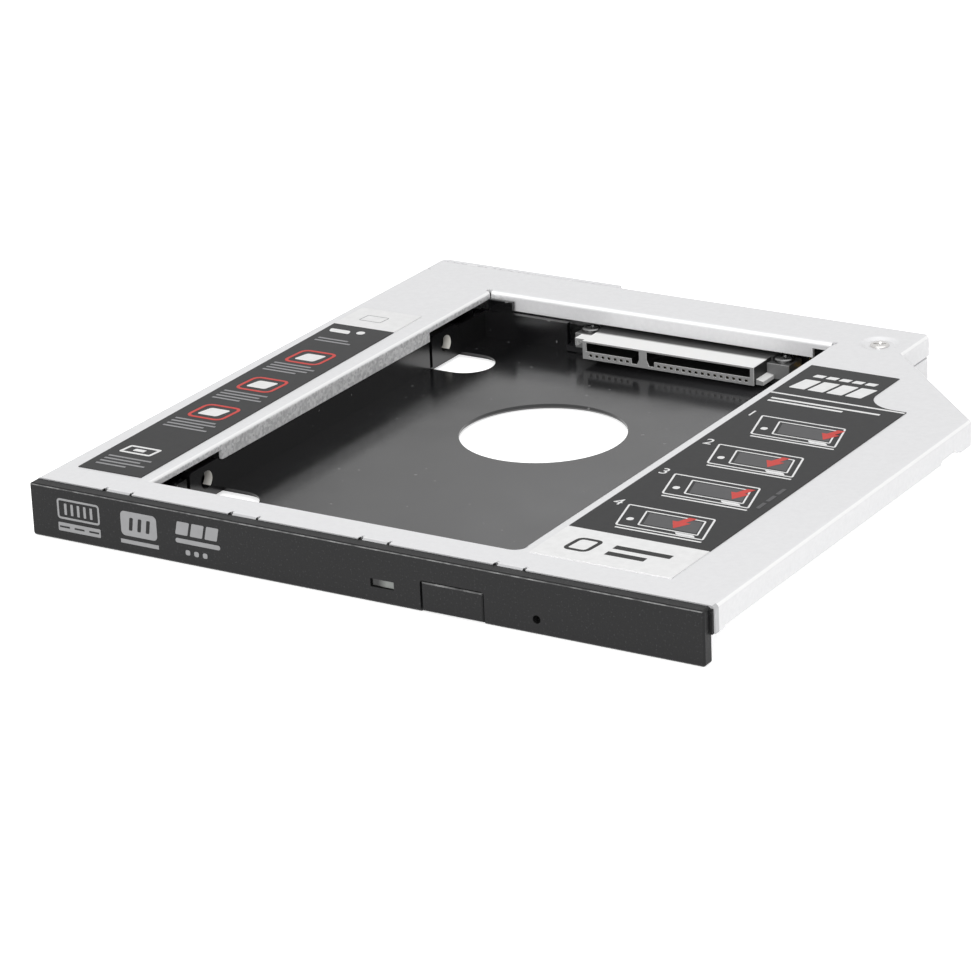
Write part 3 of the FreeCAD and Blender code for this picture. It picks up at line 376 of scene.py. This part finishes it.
# %% Bezel plastic
BEZEL_DARK = (0.0075, 0.0075, 0.008)
BEZEL_SPECK = (0.026, 0.026, 0.027)
EDGE_PAINTED_HIGHLIGHT = (0.26, 0.26, 0.26)
HIGHLIGHT_BAND = 0.14 * MM
BEZEL_EDGE = 9.0 * MM
BUTTON_EDGE = 5.15 * MM


def textured_plastic(name, edge_height):
    """Spark-eroded black plastic with a painted highlight line along the foot of its top chamfer.
    """
    material, shader = new_material(name, BEZEL_DARK, 0.0, 0.5)
    shader.inputs["Specular IOR Level"].default_value = 0.26
    specks = spread(material, noise(material, 2600.0, 2.0), 0.0, 1.0, 0.60, 0.72)
    colour = blend(material, specks, BEZEL_DARK, BEZEL_SPECK)
    facing = facing_axes(material)
    foot = sums(material, "LESS_THAN", place_axes(material)["Z"], edge_height + HIGHLIGHT_BAND)
    # Painted highlight: faces of the top front chamfer near its foot are made paler, with a little
    # noise.
    edge_highlight = all_of(material, spread(material, facing["Z"], 0.0, 1.0, 0.45, 0.65),
                  spread(material, facing["Y"], 1.0, 0.0, -0.65, -0.45), foot,
                  spread(material, noise(material, 700.0, 2.0), 0.25, 1.0))
    join(material, blend(material, edge_highlight, colour, EDGE_PAINTED_HIGHLIGHT), shader.inputs["Base Color"])
    bump(material, shader, noise(material, 4000.0, 2.0), 0.04 * MM, 0.6)
    return material


paint("front_bezel", textured_plastic("bezel_plastic", BEZEL_EDGE))
paint("eject_button", textured_plastic("button_plastic", BUTTON_EDGE))
print("black plastics set")

# %% [markdown]
# ## The corner wall
# Behind the bay's rear left corner the tray's black wall stands a little higher and closes the
# gap under the short lip. It is a small block on the wall: a cube is scaled to size and its
# upper edges are bevelled in edit mode, as a moulding's edges are.

# %% Corner wall
WALL_LOW = Vector((-45.25, 50.65, 6.0)) * MM
WALL_HIGH = Vector((-40.1, 51.35, 8.35)) * MM
WALL_EDGE = 0.12 * MM


def corner_wall():
    bpy.ops.object.select_all(action="DESELECT")
    bpy.ops.mesh.primitive_cube_add(size=1.0, location=(WALL_LOW + WALL_HIGH) / 2.0)
    wall = bpy.context.object
    wall.name = "corner_wall"
    wall.scale = WALL_HIGH - WALL_LOW
    bpy.ops.object.transform_apply(location=True, rotation=True, scale=True)
    bpy.ops.object.mode_set(mode="EDIT")
    bpy.ops.mesh.select_all(action="DESELECT")
    bpy.ops.object.mode_set(mode="OBJECT")
    for edge in wall.data.edges:
        edge.select = all(wall.data.vertices[i].co.z > WALL_LOW.z + WALL_EDGE
                          for i in edge.vertices)
    bpy.ops.object.mode_set(mode="EDIT")
    bpy.ops.mesh.select_mode(type="EDGE")
    bpy.ops.mesh.bevel(offset=WALL_EDGE, segments=2)
    bpy.ops.object.mode_set(mode="OBJECT")
    wall.data.materials.append(tray_black)
    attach(wall, "caddy")
    print("corner wall", len(wall.data.polygons), "faces")


corner_wall()

# %% [markdown]
# ## The drive socket
# The socket's nose is moulded in pale plastic; its front face gets painted shade, and its slot
# is black inside, where no light gets in. Behind the nose the housing and its two ears get a
# painted shadow, as under the sheet's lip above. All this is one moulding with one finish, so
# the colours follow the place of each point on the part and the way that it faces.

# %% Socket finish
SOCKET_PALE = (0.90, 0.90, 0.89)
SOCKET_FRONT_SHADE = (0.27, 0.27, 0.27)
SOCKET_DARK = (0.007, 0.007, 0.007)
SOCKET_PAINTED_SHADOW = (0.045, 0.045, 0.045)
NOSE_INSET = 0.25 * MM
LIT_DEPTH = 4.6 * MM
SHADOW_FADE = 0.8 * MM
ROOF_DEPTH = 0.1 * MM
CONTACT_MARGIN = 1.34 * MM


def socket_finish():
    """Pale in front, with painted shade on the front face, a painted shadow behind the nose, and
    black inside the slot.
    """
    low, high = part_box("drive_socket")
    contacts_low, contacts_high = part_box("socket_contacts")
    material, shader = new_material("socket_plastic", SOCKET_PALE, 0.0, 0.4)
    place = place_axes(material)
    # Painted shade: faces turned to the front are made darker.
    front = spread(material, facing_axes(material)["Y"], 1.0, 0.0, -0.9, -0.4)
    shadow_start = low[1] + LIT_DEPTH
    # Painted shadow: everything behind the lit front part of the nose goes dark, as under the lip.
    body = spread(material, place["Y"], 0.0, 1.0, shadow_start, shadow_start + SHADOW_FADE)
    nose = blend(material, front, SOCKET_PALE, SOCKET_FRONT_SHADE)
    shaded_socket = blend(material, body, nose, SOCKET_PAINTED_SHADOW)
    left_end = contacts_low[0] - CONTACT_MARGIN
    right_end = contacts_high[0] + CONTACT_MARGIN
    dark = all_of(material,
                  sums(material, "GREATER_THAN", place["Y"], low[1] + NOSE_INSET),
                  sums(material, "LESS_THAN", place["Z"], high[2] - ROOF_DEPTH),
                  sums(material, "GREATER_THAN", place["X"], left_end),
                  sums(material, "LESS_THAN", place["X"], right_end))
    join(material, blend(material, dark, shaded_socket, SOCKET_DARK), shader.inputs["Base Color"])
    bump(material, shader, noise(material, 1800.0, 2.0), 0.01 * MM, 0.3)
    return material


paint("drive_socket", socket_finish())
print("socket finish set")

# %% [markdown]
# ## Small parts
# Screws and spring are bright steel with a faint turned grain, except the board's screws,
# whose darker steel is painted shade; the contacts are plated, and the board is black solder
# mask over a thin black film.

# %% Small parts
def plated(name, colour, roughness):
    """Bare or plated metal whose shine varies a little."""
    material, shader = new_material(name, colour, 1.0, roughness)
    grain = noise(material, 5000.0, 2.0)
    join(material, spread(material, grain, roughness - 0.05, roughness + 0.08),
         shader.inputs["Roughness"])
    return material


def mottled(name, colour, roughness, scale):
    """An even colour with soft darker patches."""
    material, shader = new_material(name, colour, 0.0, roughness)
    darker = tuple(0.75 * c for c in colour)
    patches = spread(material, noise(material, scale), 0.0, 1.0)
    join(material, blend(material, patches, colour, darker), shader.inputs["Base Color"])
    return material


screw_steel = plated("screw_steel", (0.62, 0.61, 0.60), 0.25)
for node in ("cover_screw", "bracket_screws", "case_screws"):
    paint(node, screw_steel)
# Painted shade: the board's screws sit under the cover and get a darker steel.
paint("board_screws", plated("shaded_board_screw_steel", (0.20, 0.20, 0.20), 0.3))
paint("button_spring", plated("spring_steel", (0.66, 0.66, 0.67), 0.25))
paint("socket_contacts", plated("socket_contact", (0.20, 0.16, 0.09), 0.4))
paint("plug_contacts", plated("plug_contact", (0.86, 0.64, 0.26), 0.25))
paint("circuit_board", mottled("board_black", (0.010, 0.010, 0.011), 0.35, 400.0))
paint("board_film", mottled("film_black", (0.02, 0.02, 0.02), 0.3, 200.0))
paint("board_capacitors", mottled("chip_ceramic", (0.33, 0.22, 0.13), 0.6, 2000.0))
print("small parts set")

# %% [markdown]
# ## The lamp window
# Behind the slot sits a clear moulded light piece. Its right part catches the light, its left
# end lies in the slot's shadow, so the colour runs from dark to grey along the slot.

# %% Lamp window finish
LAMP_SHADE = (0.012, 0.012, 0.012)
LAMP_LIT = (0.20, 0.21, 0.20)


def lamp_finish():
    low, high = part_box("lamp_window")
    material, shader = new_material("lamp_plastic", LAMP_LIT, 0.0, 0.2)
    middle = (low[0] + high[0]) / 2.0
    along = spread(material, place_axes(material)["X"], 0.0, 1.0, middle - 1.0 * MM,
                   middle + 0.6 * MM)
    join(material, blend(material, along, LAMP_SHADE, LAMP_LIT), shader.inputs["Base Color"])
    return material


paint("lamp_window", lamp_finish())

# %% [markdown]
# ## Sticker film and inks
# Both stickers are black printed film, a little glossy. The print on them is made as very thin
# raised shapes: pale panels, bars, frames and numerals. Ink is matt and never quite even.

# %% Film and ink finishes
INK = 0.02 * MM
INK_SHINE = 0.25
FILM_SHINE = 0.13
FILM_BLACK = (0.014, 0.014, 0.015)
FILM_EDGE = (0.70, 0.70, 0.70)


def ink(name, colour):
    """Matt ink that is never quite even."""
    material, shader = new_material(name, colour, 0.0, 0.5)
    shader.inputs["Specular IOR Level"].default_value = INK_SHINE
    duller = tuple(0.93 * c for c in colour)
    patches = spread(material, noise(material, 700.0), 0.0, 1.0)
    join(material, blend(material, patches, colour, duller), shader.inputs["Base Color"])
    return material


def label_film(name, pale_from, pale_to):
    """Black film; where its white field lies, from one Y to another, its cut edge is pale."""
    material, shader = new_material(name, FILM_BLACK, 0.0, 0.38)
    shader.inputs["Specular IOR Level"].default_value = FILM_SHINE
    place = place_axes(material)
    patches = spread(material, noise(material, 900.0), 0.0, 1.0)
    film = blend(material, patches, FILM_BLACK, tuple(0.75 * c for c in FILM_BLACK))
    edge = all_of(material, sums(material, "GREATER_THAN", place["Y"], pale_from),
                  sums(material, "LESS_THAN", place["Y"], pale_to),
                  sums(material, "LESS_THAN", facing_axes(material)["Z"], 0.5))
    join(material, blend(material, edge, film, FILM_EDGE), shader.inputs["Base Color"])
    return material


PANEL_LENGTH = 9.6
FRONT_PANEL = 12.2
left_low, left_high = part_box("left_label")
right_low, right_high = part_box("right_label")
paint("left_label", label_film("left_film", left_high[1] - PANEL_LENGTH * MM, left_high[1] + MM))
paint("right_label", label_film("right_film", right_low[1] - MM, right_low[1] + FRONT_PANEL * MM))
INKS = {
    "white": ink("white_ink", (0.88, 0.88, 0.88)),
    "grey": ink("grey_ink", (0.30, 0.30, 0.31)),
    "plate": ink("plate_ink", (0.085, 0.085, 0.088)),
    "black": ink("black_ink", (0.012, 0.012, 0.012)),
    "red": ink("red_ink", (0.62, 0.055, 0.045)),
    "bezel": ink("bezel_ink", (0.29, 0.29, 0.295)),
}
print("inks:", ", ".join(INKS))

# %% [markdown]
# ## Shapes for the print
# Each printed shape starts as a flat plane in millimetres: bevelled corners make it rounded,
# an inset whose middle is deleted makes it a frame, and moving its rear edge sideways slants
# it. Shapes that repeat are modelled once and copied.

# %% Flat shapes
def start_plane(width, depth):
    bpy.ops.object.select_all(action="DESELECT")
    bpy.ops.mesh.primitive_plane_add(size=1.0)
    shape = bpy.context.object
    shape.scale = (width, depth, 1.0)
    bpy.ops.object.transform_apply(location=False, rotation=False, scale=True)
    return shape


def slant_rear(shape, slant):
    """Move the rear edge sideways, so that the shape leans."""
    bpy.ops.object.mode_set(mode="EDIT")
    bpy.ops.mesh.select_all(action="DESELECT")
    bpy.ops.object.mode_set(mode="OBJECT")
    for corner in shape.data.vertices:
        corner.select = corner.co.y > 0.0
    bpy.ops.object.mode_set(mode="EDIT")
    bpy.ops.transform.translate(value=(slant, 0.0, 0.0))
    bpy.ops.object.mode_set(mode="OBJECT")


def flat_shape(width, depth, corner=0.0, slant=0.0, line=0.0):
    """A flat patch, or a frame where line is its width."""
    shape = start_plane(width, depth)
    if slant:
        slant_rear(shape, slant)
    bpy.ops.object.mode_set(mode="EDIT")
    bpy.ops.mesh.select_all(action="SELECT")
    if corner:
        bpy.ops.mesh.bevel(offset=corner, segments=4, affect="VERTICES")
        bpy.ops.mesh.select_all(action="SELECT")
    if line:
        bpy.ops.mesh.inset(thickness=line, depth=0.0)
        bpy.ops.mesh.delete(type="FACE")
    bpy.ops.object.mode_set(mode="OBJECT")
    return shape


def arrow_head(size):
    """A triangle that points to the front."""
    bpy.ops.object.select_all(action="DESELECT")
    bpy.ops.mesh.primitive_circle_add(vertices=3, radius=size, fill_type="NGON",
                                      rotation=(0.0, 0.0, math.radians(180.0)))
    shape = bpy.context.object
    bpy.ops.object.transform_apply(location=False, rotation=True, scale=False)
    return shape


def numeral(digit, height):
    bpy.ops.object.select_all(action="DESELECT")
    bpy.ops.object.text_add()
    shape = bpy.context.object
    shape.data.body = digit
    shape.data.size = height * 1.4
    shape.data.resolution_u = 4
    bpy.ops.object.convert(target="MESH")
    return bpy.context.object


# %% Placing and printing
def put(shape, x, y):
    """Move a flat shape to its place on the sticker, in millimetres."""
    shape.location = (x, y, 0.0)
    return shape


def copies(shape, places):
    """The shape itself at the first place, and copies with their own meshes at the rest."""
    made = [put(shape, *places[0][:2])]
    for entry in places[1:]:
        twin = shape.copy()
        twin.data = shape.data.copy()
        bpy.context.collection.objects.link(twin)
        made.append(put(twin, *entry[:2]))
    for twin, entry in zip(made, places):
        if len(entry) > 2:
            twin.scale = (entry[2], 1.0, 1.0)
    return made


def text_bars(x, y, lengths, pitch, height):
    """Plain bars, one under the other."""
    places = [(x + length / 2.0, y - pitch * i, length) for i, length in enumerate(lengths)]
    return copies(flat_shape(1.0, height), places)


def print_on(name, shapes, colour, turn):
    """Join the shapes into one thin piece of ink and lay it on the caddy."""
    bpy.ops.object.select_all(action="DESELECT")
    for shape in shapes:
        shape.select_set(True)
    bpy.context.view_layer.objects.active = shapes[0]
    if len(shapes) > 1:
        bpy.ops.object.join()
    piece = bpy.context.view_layer.objects.active
    bpy.ops.object.transform_apply(location=True, rotation=True, scale=True)
    piece.name = name
    piece.data.name = name
    piece.matrix_world = turn @ Matrix.Scale(MM, 4)
    bpy.ops.object.transform_apply(location=True, rotation=True, scale=True)
    body = piece.modifiers.new("ink_thickness", "SOLIDIFY")
    body.thickness = INK
    body.offset = 1.0
    bpy.ops.object.modifier_apply(modifier=body.name)
    piece.data.materials.clear()
    piece.data.materials.append(INKS[colour])
    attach(piece, "caddy")
    print(name, len(piece.data.polygons), "faces")


# %% [markdown]
# ## Print on the left sticker
# The long sticker beside the bay has a white field at its rear end. On the black there are
# groups of fine grey bars, most of them with a red frame round a pale block above them, and a
# bold white frame in front. Places are measured from the sticker's front left corner, which
# is easier to read than its middle.

# %% Left sticker, its places
LEFT_SIZE = (12.7, 89.6)
LEFT_TURN = math.radians(0.9)
RING_ROWS = (31.4, 46.6, 62.2)
BLOCK_X = 5.8
RING_X = 6.0
FRONT_FRAME = (5.2, 10.4)
REAR_BLOCK = (3.6, 76.6)
REAR_DOT = (7.4, 77.2)
REAR_FRAME_X = 5.4
ON_INK = Matrix.Translation((0, 0, INK))


def label_frame(node, turn):
    """Matrix that carries a sticker's own millimetres, from its middle, onto the caddy."""
    low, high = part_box(node)
    middle = Vector(((low[0] + high[0]) / 2.0, (low[1] + high[1]) / 2.0, high[2]))
    return Matrix.Translation(middle) @ Matrix.Rotation(turn, 4, "Z")


def on_left(x, y):
    """A place on the left sticker, measured from its front left corner."""
    return x - LEFT_SIZE[0] / 2.0, y - LEFT_SIZE[1] / 2.0


left_place = label_frame("left_label", LEFT_TURN)
rear_panel_y = (LEFT_SIZE[1] - PANEL_LENGTH) / 2.0

# %% Left sticker, white shapes
white = [put(flat_shape(LEFT_SIZE[0], PANEL_LENGTH), 0.0, rear_panel_y)]
white += copies(flat_shape(4.0, 3.4, corner=0.5, slant=0.8),
                [on_left(BLOCK_X, y) for y in RING_ROWS])
white.append(put(flat_shape(6.4, 3.4, corner=0.5, slant=0.4, line=0.55),
                 *on_left(*FRONT_FRAME)))
white.append(put(flat_shape(2.2, 1.0, corner=0.2, slant=0.1), *on_left(*FRONT_FRAME)))
white.append(put(flat_shape(4.2, 1.6, corner=0.5, slant=-0.5), *on_left(*REAR_BLOCK)))
white.append(put(flat_shape(1.6, 1.6, corner=0.75), *on_left(*REAR_DOT)))
print_on("left_label_white", white, "white", left_place)
rear_frame = flat_shape(4.6, 3.0, corner=0.4, slant=0.3, line=0.16)
put(rear_frame, on_left(REAR_FRAME_X, 0.0)[0], rear_panel_y)
print_on("left_label_frame", [rear_frame], "grey", ON_INK @ left_place)

# %% Left sticker, rows and red frames
ROW_X = 1.6
ROW_PITCH = 1.25
ROW_HEIGHT = 0.5
ROW_GROUPS = ((6.6, (8.6, 7.2, 8.9, 6.0)), (26.5, (8.2, 9.0, 7.4, 8.8)),
              (41.6, (8.9, 8.0, 9.2, 5.6)), (57.6, (7.6, 9.1, 8.4, 6.8)),
              (72.2, (6.2, 7.4)))

grey = []
for start, lengths in ROW_GROUPS:
    grey += text_bars(*on_left(ROW_X, start), lengths, ROW_PITCH, ROW_HEIGHT)
print_on("left_label_rows", grey, "grey", left_place)
red = copies(flat_shape(7.4, 6.8, corner=1.5, slant=0.5, line=0.6),
             [on_left(RING_X, y) for y in RING_ROWS])
print_on("left_label_red", red, "red", left_place)

# %% [markdown]
# ## Print on the right sticker
# The broad sticker has a bold header of leaning white blocks, four numbered steps, and a white
# field in front with a frame and two bars. Each step is a leaning double frame round a grey
# plate with a red arrow, so one helper puts a shape into all four steps at once.

# %% Right sticker, panels and header
RULE_Y = 81.1
RULE_SIDES = 0.1
HEADER_Y = 86.9
BARS_PLACE = (1.4, 78.6)
BARS_LENGTHS = (20.6, 14.2)

right_size = ((right_high[0] - right_low[0]) / MM, (right_high[1] - right_low[1]) / MM)
right_place = label_frame("right_label", 0.0)


def on_right(x, y):
    """A place on the right sticker, measured from its front left corner."""
    return x - right_size[0] / 2.0, y - right_size[1] / 2.0


middle_x = right_size[0] / 2.0
white = [put(flat_shape(right_size[0], FRONT_PANEL), *on_right(middle_x, FRONT_PANEL / 2.0))]
white.append(put(flat_shape(right_size[0] - RULE_SIDES, 0.5), *on_right(middle_x, RULE_Y)))
white += copies(flat_shape(3.0, 4.8, corner=0.2, slant=0.9),
                [on_right(3.1 + 3.6 * i, HEADER_Y) for i in range(4)])
white += copies(flat_shape(1.9, 1.3, corner=0.15, slant=0.3),
                [on_right(3.9 + 2.5 * i, HEADER_Y + 4.6) for i in range(5)])
white += text_bars(*on_right(*BARS_PLACE), BARS_LENGTHS, 1.3, 0.62)

# %% Right sticker, steps
STEP_ROWS = (20.2, 35.4, 50.6, 65.8)
STEP_DIGITS = "4321"
STEP_LEAN = -2.4
STEP_X = 14.4
DIGIT_HEIGHT = 2.5


def steps(shape, x, y):
    """The same shape in each of the four steps, at x and y from the step's middle."""
    return copies(shape, [on_right(STEP_X + x, row + y) for row in STEP_ROWS])


white += steps(flat_shape(16.0, 8.8, corner=0.5, slant=STEP_LEAN, line=0.34), 0.0, 0.0)
white += steps(flat_shape(11.0, 6.0, corner=0.3, slant=STEP_LEAN * 0.7, line=0.3), 0.8, 0.0)
white += steps(flat_shape(15.6, 0.4, corner=0.1), 0.3, -5.2)
white += steps(flat_shape(3.4, 0.8, corner=0.3, slant=STEP_LEAN * 0.3), 4.6, -3.55)
white += steps(flat_shape(1.2, 1.2, corner=0.5), -7.0, -1.2)
for digit, row in zip(STEP_DIGITS, STEP_ROWS):
    white.append(put(numeral(digit, DIGIT_HEIGHT), *on_right(1.2, row + 3.4)))
print_on("right_label_white", white, "white", right_place)

# %% Right sticker, red and grey
ARROW_SIDES = (1.2, 3.6, 2.0, 4.4)
HEAD_SIZE = 1.9
SHAFT_REAR = 2.07

red = []
for side, row in zip(ARROW_SIDES, STEP_ROWS):
    red.append(put(arrow_head(HEAD_SIZE), *on_right(STEP_X + side, row)))
    red.append(put(flat_shape(1.4, 2.2, slant=0.9), *on_right(STEP_X + side, row + SHAFT_REAR)))
grey = steps(flat_shape(9.6, 4.6, corner=0.2, slant=STEP_LEAN * 0.55), 0.8, 0.0)
grey += copies(flat_shape(0.7, 2.6, corner=0.1), [on_right(23.6, 33.0 + 3.4 * i) for i in range(3)])
print_on("right_label_grey", grey, "plate", right_place)
print_on("right_label_red", red, "red", ON_INK @ right_place)

# %% Right sticker, front field
FIELD_FRAME = (6.0, 6.1)
FIELD_BARS = (11.2, 7.4)
FIELD_LENGTHS = (10.2, 7.0)

black = [put(flat_shape(4.6, 5.4, corner=1.2, slant=0.5, line=0.75), *on_right(*FIELD_FRAME))]
black += text_bars(*on_right(*FIELD_BARS), FIELD_LENGTHS, 2.7, 1.4)
print_on("right_label_black", black, "black", ON_INK @ right_place)

# %% [markdown]
# ## Marks on the bezel
# Three small grey marks stand side by side at the left of the bezel: a frame of upright bars
# over a solid bar, a rounded plate over a thin bar, and three leaning blocks over a line and
# dots. They are drawn flat, then turned upright onto the bezel's face. Short black bars on the
# first two break their fields.

# %% Bezel marks
FIRST_MARK = 9.8
SECOND_MARK = 22.0
THIRD_MARK = 33.7

bezel_low, bezel_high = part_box("front_bezel")
bezel_place = Matrix.Translation(tuple(bezel_low)) @ Matrix.Rotation(math.radians(90.0), 4, "X")
marks = [put(flat_shape(8.6, 3.6, corner=0.6, line=0.36), FIRST_MARK, 5.7)]
marks += copies(flat_shape(0.5, 2.0, corner=0.1), [(7.2 + 1.3 * i, 5.7) for i in range(5)])
marks.append(put(flat_shape(8.6, 1.5, corner=0.2), FIRST_MARK, 2.5))
marks.append(put(flat_shape(7.2, 4.3, corner=0.8), SECOND_MARK, 5.3))
marks.append(put(flat_shape(7.6, 0.7), SECOND_MARK, 2.1))
marks += copies(flat_shape(2.4, 2.3, corner=0.2, slant=0.5),
                [(30.5 + 2.9 * i, 6.3) for i in range(3)])
marks.append(put(flat_shape(8.8, 0.8, corner=0.35), THIRD_MARK, 4.1))
marks += copies(flat_shape(0.9, 0.9, corner=0.3), [(31.6 + 1.7 * i, 2.2) for i in range(3)])
print_on("bezel_marks", marks, "bezel", bezel_place)

# %% Black bars on the marks
bars = copies(flat_shape(0.7, 2.3, corner=0.2, slant=0.3),
              [(20.3 + 1.7 * i, 5.3) for i in range(3)])
bars += copies(flat_shape(2.0, 0.3), [(6.8 + 3.0 * i, 2.5) for i in range(3)])
print_on("bezel_slots", bars, "black", Matrix.Translation((0, -INK, 0)) @ bezel_place)

# %% [markdown]
# ## Studio
# A pale floor carries the shadow. A big lamp overhead and an even sky give soft light, and a
# second softbox in front lights the upright faces, so that the folded edges stay bright.

# %% Floor
FLOOR_SIZE = 6.0
FLOOR_DROP = 0.2 * MM
FLOOR_GLOW = 0.66


def add_floor():
    bpy.ops.object.select_all(action="DESELECT")
    bpy.ops.mesh.primitive_plane_add(size=FLOOR_SIZE, location=(0, 0, -FLOOR_DROP))
    floor = bpy.context.object
    floor.name = "studio_floor"
    bpy.ops.object.transform_apply(location=True, rotation=True, scale=True)
    material, shader = new_material("studio_floor", (0.9, 0.9, 0.9), 0.0, 0.9)
    shader.inputs["Specular IOR Level"].default_value = 0.0
    path = add_node(material, "ShaderNodeLightPath")
    seen = sums(material, "MAXIMUM", path.outputs["Is Camera Ray"], path.outputs["Is Glossy Ray"])
    glow = spread(material, seen, 0.0, FLOOR_GLOW, 0.0, 1.0)
    shader.inputs["Emission Color"].default_value = (1.0, 1.0, 1.0, 1.0)
    join(material, glow, shader.inputs["Emission Strength"])
    floor.data.materials.append(material)


add_floor()

# %% Sky and lamps
SKY = 0.5


def add_sky():
    world = bpy.data.worlds.new("studio_sky")
    world.use_nodes = True
    nodes = world.node_tree.nodes
    path = nodes.new("ShaderNodeLightPath")
    seen = nodes.new("ShaderNodeMath")
    seen.operation = "MAXIMUM"
    lift = nodes.new("ShaderNodeMapRange")
    lift.inputs["To Min"].default_value = SKY
    lift.inputs["To Max"].default_value = 1.0
    links = world.node_tree.links
    links.new(path.outputs["Is Camera Ray"], seen.inputs[0])
    links.new(path.outputs["Is Glossy Ray"], seen.inputs[1])
    links.new(seen.outputs[0], lift.inputs["Value"])
    links.new(lift.outputs["Result"], nodes["Background"].inputs["Strength"])
    nodes["Background"].inputs["Color"].default_value = (1.0, 1.0, 1.0, 1.0)
    bpy.context.scene.world = world


def add_lamp(name, place, target, size, watts):
    data = bpy.data.lights.new(name, "AREA")
    data.shape = "SQUARE"
    data.size = size
    data.energy = watts
    lamp = bpy.data.objects.new(name, data)
    bpy.context.collection.objects.link(lamp)
    lamp.location = place
    lamp.rotation_euler = (Vector(target) - Vector(place)).to_track_quat("-Z", "Y").to_euler()
    print(name, watts, "W")


add_sky()
add_lamp("top_softbox", (0.2, 0.0, 1.3), (0, 0, 0), 1.4, 5.9)
add_lamp("front_softbox", (0.3, -1.2, 0.45), (0, 0, 0), 0.9, 11.5)
bpy.context.scene.view_settings.view_transform = "Standard"
